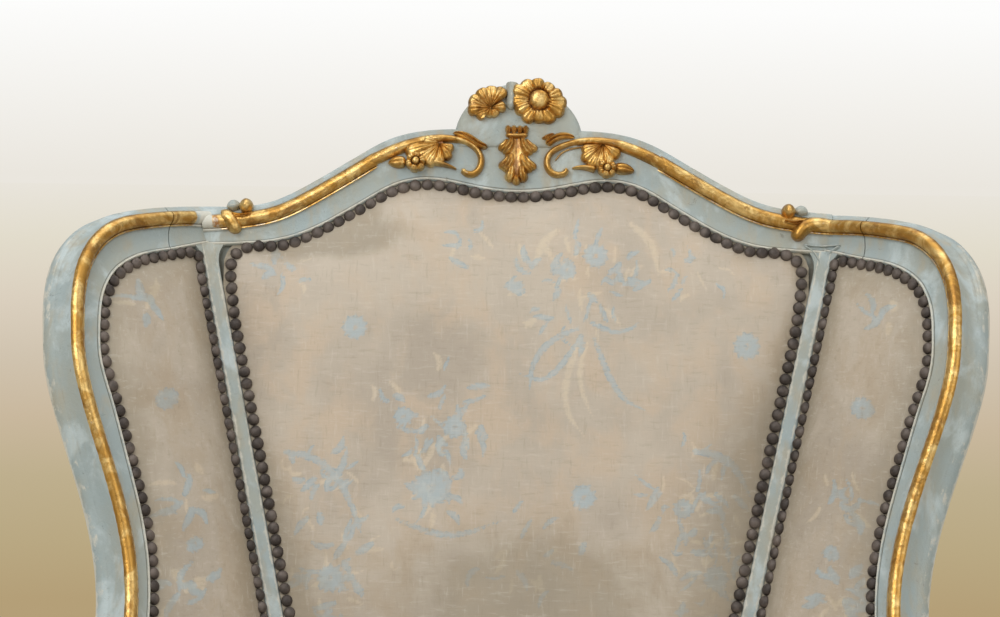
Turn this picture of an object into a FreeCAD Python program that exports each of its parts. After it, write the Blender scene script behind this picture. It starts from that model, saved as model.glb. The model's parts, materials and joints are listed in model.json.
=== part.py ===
import FreeCAD, Part
import math
import os

# A painted and parcel-gilt wing bergere: a raked back frame, two planar wings
# turned forward of it, closed arms, a bowed seat frame on four legs and a loose
# seat cushion. The chair faces -Y, +Z is up and the origin is on the floor
# under the middle of the whole chair. The right side is +X; the left is its mirror.

V = FreeCAD.Vector

# Back and wing planes
BACK_RAKE = math.radians(11)
WING_TURN = math.radians(48)
SEAT_TOP = 320.0
BACK_FACE_Y = 185.0

# Stile centre line seen from the front
STILE_FOOT_X = 59.8
STILE_SLOPE = 0.2127
STILE_BEND_TOP = 650.0
STILE_BEND_BOTTOM = 450.0
STILE_HALF = 26.0
RIB_HALF = 6.5

# Moulding shared by the crest, wings and arms
REBATE_WIDTH = 14.0
REBATE_DEPTH = 6.0
LAND_START = 6.0
BEAD_HALF = 6.0
BEAD_RISE = 5.0
CREST_BEAD_INSET = 12.0
RIM_EASE = 3.0
CREST_DEPTH = 38.0
WING_DEPTH = 34.0
STILE_DEPTH = CREST_DEPTH / math.cos(BACK_RAKE)

# Crest rail from the middle outwards: nail line and top outline, as x and height
CREST_STATIONS = [
    ((0, 984.8), (0, 1041.5)),
    ((30, 987.4), (32, 1041.4)),
    ((56, 992.6), (60, 1040.4)),
    ((78, 994.5), (84, 1036.7)),
    ((100, 990.2), (108, 1029.2)),
    ((124, 977.4), (136, 1014.2)),
    ((150, 962.0), (161, 1000.0)),
    ((174, 949.8), (184, 987.8)),
    ((200, 941.6), (207, 978.7)),
    ((230, 938.5), (236, 975.3)),
]
CREST_END = ((285, 937.0), (291, 974.0))
FOLD_POINT = (259.5, 939.0)

# Wing frame: nail line, bead line (x and height), then how far the rim stands
# beyond the bead and how far it is cut back
WING_START = [((236, 940), (240, 964), 9, 4), ((260, 938.5), (263, 964), 9, 4)]
WING_STATIONS = [
    ((284, 934), (286, 964), 8, 4),
    ((301, 931), (308, 962), 8, 8),
    ((314, 926), (328, 957), 8, 15),
    ((323, 919), (340, 947), 8, 23),
    ((329, 908), (349, 929), 9, 28),
    ((332, 882), (352, 884), 9, 28),
    ((330, 855), (349.5, 856), 9, 28),
    ((321, 823), (342, 824), 9, 28),
    ((307, 775), (327, 777), 9, 28),
    ((294, 727), (312.5, 729), 9, 28),
    ((287, 688), (304.5, 690), 9, 28),
    ((285, 658), (302, 660), 9, 28),
    ((286, 625), (303, 627), 9, 28),
    ((288, 596), (305, 598), 9, 28),
]

WING_STEPS = 30

# Carved crest block over the middle of the crest rail
DOME_RADIUS = 52.0
DOME_BASE = 1036.0
DOME_TOP = 1080.5
DOME_DEPTH = 32.0
ROSETTE_RADIUS = 24.0
ROSETTE_HEIGHT = 9.0
ROSETTE_SIDES = 16
ROSETTES = [(19.5, 1064.0, 1.0), (-21.0, 1061.0, 0.85)]
ROSETTE_ROWS = [(1.0, -0.1), (0.95, 0.35), (0.6, 0.85), (0.2, 1.0)]
LEAF_TOP = 1046.0
LEAF_TIP = 993.5
LEAF_HALF = 16.0
LEAF_RISE = 9.0
LEAF_SUNK = 3.0
LEAF_SHOULDER = 0.7
LEAF_ROWS = [(LEAF_TOP, 0.55, 0.6), (LEAF_TOP - 14, 1.0, 1.0), (LEAF_TOP - 34, 0.8, 0.8),
             (LEAF_TIP, 0.2, 0.3)]
LEAF_STEPS = 6

# Arm centre line in plan, from the stile to the scroll, and its height
ARM_LINE = [(208, 254), (256, 201), (303, 148), (329, 92), (343, 15),
            (350, -75), (352, -150), (348, -215)]
ARM_UNDER = 592.0
ARM_TOP = 622.0
ARM_HALF_REAR = 15.0
ARM_HALF = 20.0
ARM_EASE = 3.0
ARM_BEVEL = 6.0
ARM_BEAD = 12.0
ARM_BEAD_RISE = 4.0
ARM_STEPS = 15
SCROLL_RADIUS = 19.0
SCROLL_HALF = 22.0
SCROLL_AHEAD = 4.0
SCROLL_RISE = 2.0
SCROLL_SIDES = 18

# Arm support centre line: x, y, height and half width
SUPPORT_LINE = [(312, -158, 318, 24), (316, -150, 360, 19), (326, -152, 420, 16),
                (338, -172, 490, 16), (346, -204, 550, 17), (348, -218, 594, 18)]
SUPPORT_DEEPER = 1.15
SUPPORT_CORNER = 0.82
SUPPORT_STEPS = 9

# Seat frame
RAIL_HEIGHT = 70.0
RAIL_HALF = 22.0
APRON_SPARE = 5.0
SIDE_LINE = [(188, 205), (246, 75), (288, -62), (310, -190), (318, -309)]
FRONT_FACE = [(-300, -338), (-200, -342), (-100, -356), (0, -362),
              (100, -356), (200, -342), (300, -338)]
FRONT_BACK_Y = -300.0
FRONT_APRON = [(-300, 252), (-180, 266), (-70, 256), (0, 243), (70, 256), (180, 266), (300, 252)]
SIDE_APRON = [(260, 252), (120, 262), (-40, 266), (-190, 262), (-350, 252)]

# Front legs: height, offset along the outward diagonal, half width, corner fullness
LEG_CENTRE = (316.0, -318.0)
FRONT_LEG = [(320, 0, 30, 0.97), (285, 2, 30.5, 0.97), (252, 6, 29, 0.93), (215, 6, 25, 0.88),
             (165, -1, 19, 0.82), (110, -9, 15, 0.80), (65, -11, 14, 0.80), (34, -6, 17, 0.80),
             (14, 1, 20, 0.80), (0, 3, 17, 0.80)]
FRONT_LEG_STEPS = 18

# Rounded sections: half width of each flat, and how far the sides bow past a square
FLAT_SHARE = 0.4
SIDE_BOW = 0.75

# Rear legs below the seat: height, x, y, half width, half depth
REAR_LEG = [(346, 178, 208, 25, 17), (300, 178, 206, 26, 21), (250, 178, 207, 26, 22),
            (180, 180, 214, 22, 20), (110, 183, 227, 19, 18), (50, 186, 243, 17, 17),
            (0, 188, 257, 16, 17)]
REAR_CHAMFER = 5.0
REAR_LEG_STEPS = 10
STILE_HEIGHTS = [330, STILE_BEND_BOTTOM, 500, 550, 600, STILE_BEND_TOP, 945]
BACK_RAIL_HALF = 20.0

# Mortise and tenon joints, as boxes: low corner and size. A tenon belongs to the
# first timber of each pair and is let into the second.
TENONS = [
    ("seat_front_rail", "front_leg", (280, -330, 262), (24, 10, 46)),
    ("seat_side_rail", "front_leg", (309, -314, 262), (10, 28, 46)),
    ("seat_back_rail", "back_stile", (145, 201, 260), (30, 10, 50)),
    ("back_lower_rail", "back_stile", (146, 204, 352), (24, 9, 26)),
    ("arm_support", "seat_side_rail", (303, -170, 296), (20, 24, 30)),
    ("arm_support", "arm_rail", (339, -226, 588), (18, 16, 20)),
]
STILE_TENON = ((232, 252), (912, 952), (-28, -18))

# Glue blocks in the corners of the seat frame, as plan corners and heights
CORNER_BLOCKS = [((228, -302), (306, -302), (306, -226)), ((120, 188), (196, 188), (214, 118))]
BLOCK_HEIGHTS = (264.0, 306.0)

# Upholstery layers on the rebates, as depths along each panel's front normal
NAIL_INSET = 12.5
WEB_WIDTH = 50.0
WEB_THICK = 0.9
HESSIAN_THICK = 0.8
COVER_THICK = 1.4
SKIN_THICK = 2.0
COVER_EDGE = 5.5
BACK_CROWN = 15.0
BACK_ROLL = 55.0
WING_CROWN = 10.0
WING_ROLL = 26.0
BACK_BOTTOM = 350.0
BACK_SIDE_HEIGHTS = [790, STILE_BEND_TOP, 550, STILE_BEND_BOTTOM]
PANEL_CORNER = 930.0
PAD_SLOPES = [(0.15, 0.35), (0.55, 0.8), (1.0, 1.0)]
TACK_EDGE = 2.0
PAD_EDGE = 1.0
LOWER_RAIL = (345.0, 385.0)
LOWER_RAIL_DEPTH = 26.0
BACK_WEB_ROWS = (430.0, 520.0, 610.0, 700.0, 790.0, 880.0)
BACK_WEB_COLUMNS = (-120.0, -40.0, 40.0, 120.0)
BACK_WEB_TOP = 1000.0
WING_BOTTOM = 593.0

# Side panels between the seat rail and the arm: height, then rear, middle and front
# plan points of the line that the hessian follows
SIDE_ROWS = [
    (337.0, (196, 180), (262, 22), (304, -148)),
    (420.0, (197, 196), (278, 32), (318, -146)),
    (505.0, (202, 210), (296, 42), (333, -172)),
    (590.0, (206, 222), (314, 62), (341, -208)),
]
SIDE_STUFFING = 22.0
SIDE_CROWN = 8.0
SIDE_SKIN = 24.0
SIDE_TAPER = 12.0
SIDE_TACK_GAP = 17.5
SIDE_SPARE = 10.0
SKIN_FOOT = 322.0

# Seat deck and loose cushion
DECK_SIDE_INSET = 2.0
DECK_WEB = (-240.0, -165.0, -90.0, -15.0, 60.0, 135.0)
DECK_WEB_COLUMNS = (-140.0, -70.0, 0.0, 70.0, 140.0)
DECK_STUFFING = 10.0
DECK_NOSE_SHARE = 0.93
DECK_NOSE_INSET = 14.0
DECK_CORNER = (12.0, 4.0)
DECK_TACK_EDGE = 3.0
DECK_PAD_EDGE = 8.0
CUSHION_GAP = 1.6
CUSHION_BACK = (162.0, 164.0)
CUSHION_FRONT = (298.0, -336.0)
CUSHION_CORNER = 26.0
CORNER_FULLNESS = 0.4
CUSHION_BOWS = (6.0, 28.0, 14.0)
CUSHION_ROWS = [(0, 16), (7, 4), (20, 0), (59, 4), (98, 0), (111, 4), (118, 16), (127, 62), (132, 120)]

# Arm pads: plan points on the arm line, half width and height over the arm
PAD_ROWS = [((341, 30), 9, 10), ((344, 8), 14.5, 19), ((349, -50), 15.5, 23), ((351.5, -110), 14.5, 20),
            ((352, -134), 9, 10)]
PAD_COVER = 1.2
PAD_UNDERCUT = 5.0

# Pieces on the centre line, and groups that hold both sides in one node
MIDDLE_PIECES = {"crest_rail", "back_lower_rail", "seat_back_rail", "seat_front_rail", "back_webbing",
                 "back_hessian", "back_stuffing", "back_inner_cover", "back_outer_cover",
                 "seat_webbing", "seat_hessian", "seat_stuffing", "seat_deck_cover",
                 "cushion_pad", "cushion_cover"}
GROUPS = {"corner_blocks"}

FLAT_TOLERANCE = 0.01
EXACT = 1e-7
REACH = 400.0


def unit(vector):
    """Copy of a vector with length 1."""
    return vector * (1.0 / vector.Length)


UP = V(0, 0, 1)
OUTWARD = V(1, 0, 0)
FOLD = unit(V(STILE_SLOPE, math.tan(BACK_RAKE), 1))
BACK_NORMAL = V(0, -math.cos(BACK_RAKE), math.sin(BACK_RAKE))
WING_NORMAL = unit(V(-math.tan(WING_TURN), -1.0,
                     math.tan(BACK_RAKE) + math.tan(WING_TURN) * STILE_SLOPE))
MITRE_NORMAL = unit(BACK_NORMAL + WING_NORMAL)


def stile_x(z):
    """Stile centre at a height: straight above, eased to upright at the waist."""
    bend = STILE_BEND_TOP - STILE_BEND_BOTTOM
    if z >= STILE_BEND_TOP:
        return STILE_FOOT_X + STILE_SLOPE * z
    waist = STILE_FOOT_X + STILE_SLOPE * STILE_BEND_TOP - STILE_SLOPE * bend / 2
    rise = max(z - STILE_BEND_BOTTOM, 0.0)
    return waist + STILE_SLOPE * rise * rise / (2 * bend)


def back_y(z):
    """Front face of the back frame at a height."""
    return BACK_FACE_Y + (z - SEAT_TOP) * math.tan(BACK_RAKE)


def back_point(x, z, out=0.0):
    """Point of the back plane, moved out along its front normal."""
    return V(x, back_y(z), z) + BACK_NORMAL * out


def wing_point(x, z, out=0.0):
    """Point of the wing plane, moved out along its front normal."""
    straight = STILE_FOOT_X + STILE_SLOPE * z
    y = back_y(z) - (x - straight) * math.tan(WING_TURN)
    return V(x, y, z) + WING_NORMAL * out


def mirrored(shape):
    """The left-hand copy of a right-hand shape."""
    return shape.mirror(V(0, 0, 0), OUTWARD)


def both(shape):
    """A right-hand shape together with its left-hand copy."""
    return Part.makeCompound(shape.Solids + mirrored(shape).Solids)


def polygon(points):
    """Closed wire of straight edges."""
    return Part.makePolygon(list(points) + [points[0]])


def spline_edge(points):
    """Smooth edge through a few points."""
    curve = Part.BSplineCurve()
    curve.interpolate(points)
    return curve.toShape()


def arc_edge(start, middle, end):
    """Arc through three points."""
    return Part.Arc(start, middle, end).toShape()


def line_edge(start, end):
    """Straight edge."""
    return Part.LineSegment(start, end).toShape()


def spread(edges, counts):
    """Points spread evenly along the edges of a closed outline."""
    points = []
    for edge, count in zip(edges, counts):
        points += edge.discretize(Number=count + 1)[:-1]
    return points


def flat_faces(a, b, c, d):
    """The quadrilateral a, b, c, d as one flat face, or split along its shorter diagonal."""
    normal = (b - a).cross(c - a)
    if abs((d - a).dot(unit(normal))) < EXACT:
        return [Part.Face(polygon([a, b, c, d]))]
    if (d - b).Length < (c - a).Length:
        a, b, c, d = b, c, d, a
    return [Part.Face(polygon([a, b, c])), Part.Face(polygon([a, c, d]))]


def stacked(outlines):
    """Closed solid through matching outlines, with flat facets between them."""
    faces = [Part.Face(polygon(outlines[0])), Part.Face(polygon(outlines[-1]))]
    for low, high in zip(outlines, outlines[1:]):
        for i in range(len(low)):
            j = (i + 1) % len(low)
            faces += flat_faces(low[i], low[j], high[j], high[i])
    solid = Part.Solid(Part.Shell(faces))
    if solid.Volume < 0:
        solid.reverse()
    return solid


def slab(points, vector):
    """Flat sheet with a many-cornered outline."""
    return Part.Face(polygon(points)).extrude(vector)


def prism(edges, vector):
    """Solid swept from a closed flat outline."""
    return Part.Face(Part.Wire(edges)).extrude(vector)


def guide_lines(sections):
    """Smooth lines through the matching corners of sections, all with one spacing."""
    spacing = [0.0]
    for one, other in zip(sections, sections[1:]):
        spacing.append(spacing[-1] + sum((b - a).Length for a, b in zip(one, other)) / len(one))
    guides = []
    for corner in range(len(sections[0])):
        curve = Part.BSplineCurve()
        curve.interpolate(Points=[section[corner] for section in sections], Parameters=spacing)
        guides.append(curve)
    return guides, spacing[-1]


def strip_face(start, end, start_points, end_points):
    """Face between two neighbouring guide lines: flat where it can be, else ruled."""
    origin = start_points[0]
    normal = (end_points[0] - origin).cross(start_points[-1] - origin)
    if all(abs((point - origin).dot(unit(normal))) < FLAT_TOLERANCE
           for point in start_points + end_points):
        return Part.Face(Part.Wire([start, line_edge(start_points[-1], end_points[-1]),
                                    end, line_edge(end_points[0], start_points[0])]))
    return Part.makeRuledSurface(start, end)


def swept(sections):
    """Solid whose corners run along smooth guide lines through matching sections."""
    guides = guide_lines(sections)[0]
    edges = [guide.toShape() for guide in guides]
    columns = [[section[corner] for section in sections] for corner in range(len(guides))]
    after = edges[1:] + edges[:1]
    columns_after = columns[1:] + columns[:1]
    faces = [strip_face(*quad) for quad in zip(edges, after, columns, columns_after)]
    faces += [Part.Face(polygon(sections[0])), Part.Face(polygon(sections[-1]))]
    return Part.Solid(Part.Shell(faces))


def turned(sections, count):
    """Solid through many even sections taken from smooth guide lines, as a carver
    would round a leg in short flats."""
    guides, length = guide_lines(sections)
    steps = [length * step / count for step in range(count + 1)]
    return stacked([[guide.value(at) for guide in guides] for at in steps])


def moulding_section(nail, bead, normal, rim_out, rim_cut, depth):
    """Corners of the moulded section in the plane of the line nail-to-bead and the
    front normal: bead, eased rim, back, rebate for the cover and flat land."""
    across = unit(bead - nail)
    width = (bead - nail).Length
    corners = [(width - BEAD_HALF / 2, BEAD_RISE), (width + BEAD_HALF / 2, BEAD_RISE),
               (width + BEAD_HALF, 0), (width + rim_out, -rim_cut), (width + rim_out, -depth),
               (-REBATE_WIDTH, -depth), (-REBATE_WIDTH, -REBATE_DEPTH),
               (LAND_START, -REBATE_DEPTH), (LAND_START, 0), (width - BEAD_HALF, 0)]
    return [nail + across * a + normal * b for a, b in corners]


def crest_section(station, sign):
    """Section of the crest rail at one station of its right or left half."""
    (nail_x, nail_z), (top_x, top_z) = station
    nail = back_point(sign * nail_x, nail_z)
    top = back_point(sign * top_x, top_z)
    bead = top - unit(top - nail) * CREST_BEAD_INSET
    return moulding_section(nail, bead, BACK_NORMAL, CREST_BEAD_INSET, RIM_EASE, CREST_DEPTH)


def beyond_mitre():
    """Block that fills the space outside the mitre between back and wing."""
    corner = back_point(*FOLD_POINT) - FOLD * REACH / 2 - MITRE_NORMAL * REACH / 2
    outside = unit(MITRE_NORMAL.cross(FOLD))
    outside = outside if outside.x > 0 else outside * -1
    face = polygon([corner, corner + FOLD * REACH, corner + FOLD * REACH + MITRE_NORMAL * REACH,
                    corner + MITRE_NORMAL * REACH])
    return Part.Face(face).extrude(outside * REACH)


def rosette(x, z, size):
    """Low round boss that carries one carved flower."""
    side = BACK_NORMAL.cross(OUTWARD)
    rings = []
    for wide, high in ROSETTE_ROWS:
        middle = back_point(x, z, ROSETTE_HEIGHT * size * high)
        angles = [2 * math.pi * step / ROSETTE_SIDES for step in range(ROSETTE_SIDES)]
        rings.append([middle + (OUTWARD * math.cos(angle) + side * math.sin(angle))
                              * ROSETTE_RADIUS * size * wide for angle in angles])
    return stacked(rings)


def crest_block():
    """Domed block, two flower bosses and the hanging leaf of the carved crest."""
    rise = DOME_TOP - DOME_BASE
    half = math.sqrt(DOME_RADIUS ** 2 - (DOME_RADIUS - rise) ** 2)
    start = back_point(-half, DOME_BASE, 1)
    end = back_point(half, DOME_BASE, 1)
    dome = prism([line_edge(start, end), arc_edge(end, back_point(0, DOME_TOP, 1), start)],
                 BACK_NORMAL * -DOME_DEPTH)
    sections = []
    for z, wide, high in LEAF_ROWS:
        half = LEAF_HALF * wide
        shoulder = LEAF_RISE * high * LEAF_SHOULDER
        sections.append([back_point(-half, z, -LEAF_SUNK), back_point(half, z, -LEAF_SUNK),
                         back_point(half * LEAF_SHOULDER, z, shoulder), back_point(0, z, LEAF_RISE * high),
                         back_point(-half * LEAF_SHOULDER, z, shoulder)])
    block = dome.fuse(turned(sections, LEAF_STEPS))
    for x, z, size in ROSETTES:
        block = block.fuse(rosette(x, z, size))
    return block


def crest_rail():
    """Serpentine crest rail with its carved block, mitred to both wings."""
    stations = CREST_STATIONS + [CREST_END]
    sections = [crest_section(station, -1) for station in reversed(stations[1:])]
    sections += [crest_section(station, 1) for station in stations]
    plain = swept(sections).cut(both(beyond_mitre()))
    return plain.fuse(crest_block())


def wing_section(station):
    """Section of the wing frame at one station."""
    (nail_x, nail_z), (bead_x, bead_z), rim_out, rim_cut = station
    return moulding_section(wing_point(nail_x, nail_z), wing_point(bead_x, bead_z), WING_NORMAL,
                            rim_out, rim_cut, WING_DEPTH)


def wing_top_rail():
    """Short rail from the mitre over the stile to the joint with the upright."""
    stations = WING_START + WING_STATIONS[:1]
    return swept([wing_section(station) for station in stations]).common(beyond_mitre())


def wing_upright():
    """Shoulder and upright of the wing, down to the arm."""
    whole = turned([wing_section(station) for station in WING_STATIONS], WING_STEPS)
    above = Part.makeBox(REACH, 2 * REACH, REACH, V(0, -REACH, ARM_TOP))
    return whole.common(above)


def stile_wire(z):
    """Level section of the stile: a rib between two rebates, the outer one turned to the wing."""
    ahead = V(math.cos(WING_TURN), -math.sin(WING_TURN), 0)
    behind = V(math.sin(WING_TURN), math.cos(WING_TURN), 0)
    centre = V(stile_x(z), back_y(z), z)
    back = centre + V(0, STILE_DEPTH, 0)
    inner = V(-STILE_HALF, 0, 0)
    step = V(0, REBATE_DEPTH / math.cos(BACK_RAKE), 0)
    rib = V(RIB_HALF, 0, 0)
    return polygon([back + inner, centre + step + inner, centre + step - rib, centre - rib,
                    centre + ahead * RIB_HALF, centre + ahead * RIB_HALF + behind * REBATE_DEPTH,
                    centre + ahead * STILE_HALF + behind * REBATE_DEPTH,
                    centre + ahead * STILE_HALF + behind * WING_DEPTH / 2,
                    back + OUTWARD * STILE_HALF])


def rear_leg_section(z, x, y, half_x, half_y):
    """Level section of the rear leg, a bevelled square."""
    c = REAR_CHAMFER
    corners = [(half_x, half_y - c), (half_x - c, half_y), (c - half_x, half_y), (-half_x, half_y - c),
               (-half_x, c - half_y), (c - half_x, -half_y), (half_x - c, -half_y), (half_x, c - half_y)]
    return [V(x + a, y + b, z) for a, b in corners]


def back_stile():
    """Stile and rear leg in one timber."""
    stile = Part.makeLoft([stile_wire(z) for z in STILE_HEIGHTS], True, True)
    return stile.fuse(turned([rear_leg_section(*station) for station in REAR_LEG], REAR_LEG_STEPS))


def lower_rail():
    """Straight rail that closes the foot of the back panel."""
    low, high = LOWER_RAIL
    corners = [(-stile_x(low), low), (stile_x(low), low), (stile_x(high), high), (-stile_x(high), high)]
    outline = polygon([back_point(x, z, -REBATE_DEPTH) for x, z in corners])
    return Part.Face(outline).extrude(BACK_NORMAL * -LOWER_RAIL_DEPTH)


def rounded_section(centre, half_x, half_y, corner):
    """Twelve-cornered level section between a square and a circle."""
    bow = corner + (1 - corner) * SIDE_BOW
    flat = FLAT_SHARE
    spots = [(bow, -flat), (bow, flat), (corner, corner), (flat, bow), (-flat, bow), (-corner, corner),
             (-bow, flat), (-bow, -flat), (-corner, -corner), (-flat, -bow), (flat, -bow), (corner, -corner)]
    return [centre + V(a * half_x, b * half_y, 0) for a, b in spots]


def front_leg():
    """Cabriole leg with a full knee, slim ankle and rounded toe."""
    sections = []
    for z, out, half, corner in FRONT_LEG:
        shift = out / math.sqrt(2)
        centre = V(LEG_CENTRE[0] + shift, LEG_CENTRE[1] - shift, z)
        sections.append(rounded_section(centre, half, half, corner))
    return turned(sections, FRONT_LEG_STEPS)


def plan_normals(points):
    """Level unit vectors square to a plan line, away from the seat."""
    curve = Part.BSplineCurve()
    curve.interpolate([V(x, y, 0) for x, y in points])
    normals = []
    for x, y in points:
        tangent = curve.tangent(curve.parameter(V(x, y, 0)))[0]
        side = V(-tangent.y, tangent.x, 0)
        normals.append(side if side.x > 0 else side * -1)
    return normals


def offset_line(points, amount, z):
    """Points of a plan line moved sideways, away from the seat when positive."""
    return [V(x, y, z) + side * amount for (x, y), side in zip(points, plan_normals(points))]


def apron_cut(points, reach):
    """Upright plate with a shaped lower edge, swept along a level vector."""
    top = [V(points[-1].x, points[-1].y, SEAT_TOP), V(points[0].x, points[0].y, SEAT_TOP)]
    return prism([spline_edge(points), line_edge(points[-1], top[0]), line_edge(*top),
                  line_edge(top[1], points[0])], reach)


def seat_side_rail():
    """Bowed side rail with a hollowed lower edge."""
    low = SEAT_TOP - RAIL_HEIGHT - APRON_SPARE
    outer = offset_line(SIDE_LINE, RAIL_HALF, low)
    inner = offset_line(SIDE_LINE, -RAIL_HALF, low)
    plank = prism([spline_edge(outer), line_edge(outer[-1], inner[-1]), spline_edge(inner),
                   line_edge(inner[0], outer[0])], UP * (SEAT_TOP - low))
    return plank.common(apron_cut([V(0, y, z) for y, z in SIDE_APRON], OUTWARD * REACH))


def seat_front_rail():
    """Serpentine front rail with a shaped apron."""
    low = min(z for x, z in FRONT_APRON) - APRON_SPARE
    face = [V(x, y, low) for x, y in FRONT_FACE]
    left = V(face[0].x, FRONT_BACK_Y, low)
    right = V(face[-1].x, FRONT_BACK_Y, low)
    plank = prism([spline_edge(face), line_edge(face[-1], right), line_edge(right, left),
                   line_edge(left, face[0])], UP * (SEAT_TOP - low))
    return plank.common(apron_cut([V(x, -REACH, z) for x, z in FRONT_APRON], V(0, REACH, 0)))


def seat_back_rail():
    """Straight back rail between the rear legs."""
    x, y = REAR_LEG[1][1:3]
    return Part.makeBox(2 * x, 2 * BACK_RAIL_HALF, RAIL_HEIGHT,
                        V(-x, y - BACK_RAIL_HALF, SEAT_TOP - RAIL_HEIGHT))


def arm_rail():
    """Swept arm from the stile, under the wing, to the scroll: flat top, bead at its
    outer edge, eased under side."""
    sections = []
    for index, ((x, y), side) in enumerate(zip(ARM_LINE, plan_normals(ARM_LINE))):
        half = ARM_HALF_REAR if index < 2 else ARM_HALF
        eased = half - ARM_EASE
        bead_top = ARM_TOP + ARM_BEAD_RISE
        corners = [(half, ARM_TOP - ARM_BEVEL), (eased, ARM_UNDER), (-eased, ARM_UNDER),
                   (-half, ARM_UNDER + ARM_BEVEL), (-half, ARM_TOP - ARM_EASE), (-eased, ARM_TOP),
                   (half - ARM_BEAD, ARM_TOP), (half - ARM_BEAD + ARM_EASE, bead_top), (eased, bead_top)]
        sections.append([V(x, y, z) + side * a for a, z in corners])
    x, y = ARM_LINE[-1]
    hub = V(x - SCROLL_HALF, y - SCROLL_AHEAD, ARM_TOP - SCROLL_RADIUS + SCROLL_RISE)
    angles = [2 * math.pi * step / SCROLL_SIDES for step in range(SCROLL_SIDES)]
    scroll = slab([hub + V(0, math.cos(angle), math.sin(angle)) * SCROLL_RADIUS for angle in angles],
                  OUTWARD * 2 * SCROLL_HALF)
    return turned(sections, ARM_STEPS).fuse(scroll)


def arm_support():
    """Curved support from the side rail to the scroll."""
    sections = [rounded_section(V(x, y, z), half, half * SUPPORT_DEEPER, SUPPORT_CORNER)
                for x, y, z, half in SUPPORT_LINE]
    return turned(sections, SUPPORT_STEPS)


def back_outline(grow, depth):
    """Outline of the back panel, grown past the nail line, at a depth."""
    top = []
    for (nail_x, nail_z), (top_x, top_z) in CREST_STATIONS[:-1]:
        nail = back_point(nail_x, nail_z)
        top.append(nail + unit(back_point(top_x, top_z) - nail) * grow + BACK_NORMAL * depth)
    heights = [PANEL_CORNER + grow] + BACK_SIDE_HEIGHTS + [BACK_BOTTOM - grow]
    side = [back_point(stile_x(z) - NAIL_INSET + grow, z, depth) for z in heights]
    half = top + side[:1]
    arch = [V(-spot.x, spot.y, spot.z) for spot in reversed(half[1:])] + half
    other = [V(-spot.x, spot.y, spot.z) for spot in side]
    return spread([spline_edge(arch), spline_edge(side), line_edge(side[-1], other[-1]),
                   spline_edge(list(reversed(other)))], (24, 5, 1, 5))


def wing_outline(grow, depth):
    """Outline of a wing panel, grown past the nail line, at a depth."""
    outer = []
    for (nail_x, nail_z), (bead_x, bead_z), _, _ in WING_STATIONS[:-1]:
        nail = wing_point(nail_x, nail_z)
        outer.append(nail + unit(wing_point(bead_x, bead_z) - nail) * grow + WING_NORMAL * depth)
    shrink = math.cos(WING_TURN)
    start = wing_point(STILE_FOOT_X + STILE_SLOPE * PANEL_CORNER + (NAIL_INSET - grow) * shrink,
                       PANEL_CORNER + grow, depth)
    z = WING_BOTTOM + COVER_EDGE - grow
    inner = wing_point(STILE_FOOT_X + STILE_SLOPE * z + (NAIL_INSET - grow) * shrink, z, depth)
    foot = wing_point(WING_STATIONS[-1][0][0] + grow * shrink, z, depth)
    return spread([spline_edge([start] + outer + [foot]), line_edge(foot, inner),
                   line_edge(inner, start)], (16, 1, 1))


def pillow(outline, rows):
    """Crowned pad through one outline at several insets and depths."""
    return stacked([outline(grow, depth) for grow, depth in rows])


def panel_layers(outline, crown, roll):
    """Hessian, crowned stuffing and cover of a flat panel, from the rebate outwards."""
    web = -REBATE_DEPTH + 2 * WEB_THICK
    base = web + HESSIAN_THICK
    hessian = slab(outline(-TACK_EDGE, web), outline_normal(outline) * HESSIAN_THICK)
    stuffing = pillow(outline, [(-PAD_EDGE, base)]
                      + [(-PAD_EDGE - roll * a, base + crown * b) for a, b in PAD_SLOPES])
    edge = base + COVER_THICK
    cover = pillow(outline, [(COVER_EDGE, base), (COVER_EDGE, edge), (0, edge)]
                   + [(-roll * a, edge + crown * b) for a, b in PAD_SLOPES])
    return hessian, stuffing, cover.cut(stuffing)


def outline_normal(outline):
    """Front normal of the plane in which an outline lies."""
    return BACK_NORMAL if outline is back_outline else WING_NORMAL


def back_webbing():
    """Crossed webs over the back opening, tacked to the rebate."""
    layers = []
    trim = slab(back_outline(-TACK_EDGE, -REBATE_DEPTH), BACK_NORMAL * 2 * WEB_THICK)
    half = WEB_WIDTH / 2
    for x in BACK_WEB_COLUMNS:
        corners = [(x - half, BACK_BOTTOM), (x + half, BACK_BOTTOM),
                   (x + half, BACK_WEB_TOP), (x - half, BACK_WEB_TOP)]
        layers.append((corners, 0))
    for z in BACK_WEB_ROWS:
        corners = [(-REACH, z - half), (REACH, z - half), (REACH, z + half), (-REACH, z + half)]
        layers.append((corners, WEB_THICK))
    strips = []
    for corners, lift in layers:
        outline = polygon([back_point(x, z, -REBATE_DEPTH + lift) for x, z in corners])
        strips.append(Part.Face(outline).extrude(BACK_NORMAL * WEB_THICK).common(trim))
    return Part.makeCompound(strips)


def back_skin():
    """Cover over the rear of the back frame."""
    return slab(back_outline(COVER_EDGE, -CREST_DEPTH), BACK_NORMAL * -SKIN_THICK)


def wing_skin():
    """Cover over the rear of a wing."""
    return slab(wing_outline(COVER_EDGE, -WING_DEPTH), WING_NORMAL * -SKIN_THICK)


def drawn_in(line, amount, z):
    """Offset of a side line that narrows towards the arm support at its front end."""
    points = offset_line(line, amount, z)
    if abs(amount) > SIDE_TAPER:
        points[-1] = points[-1] - plan_normals(line)[-1] * math.copysign(SIDE_TAPER, amount)
    return points


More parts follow.
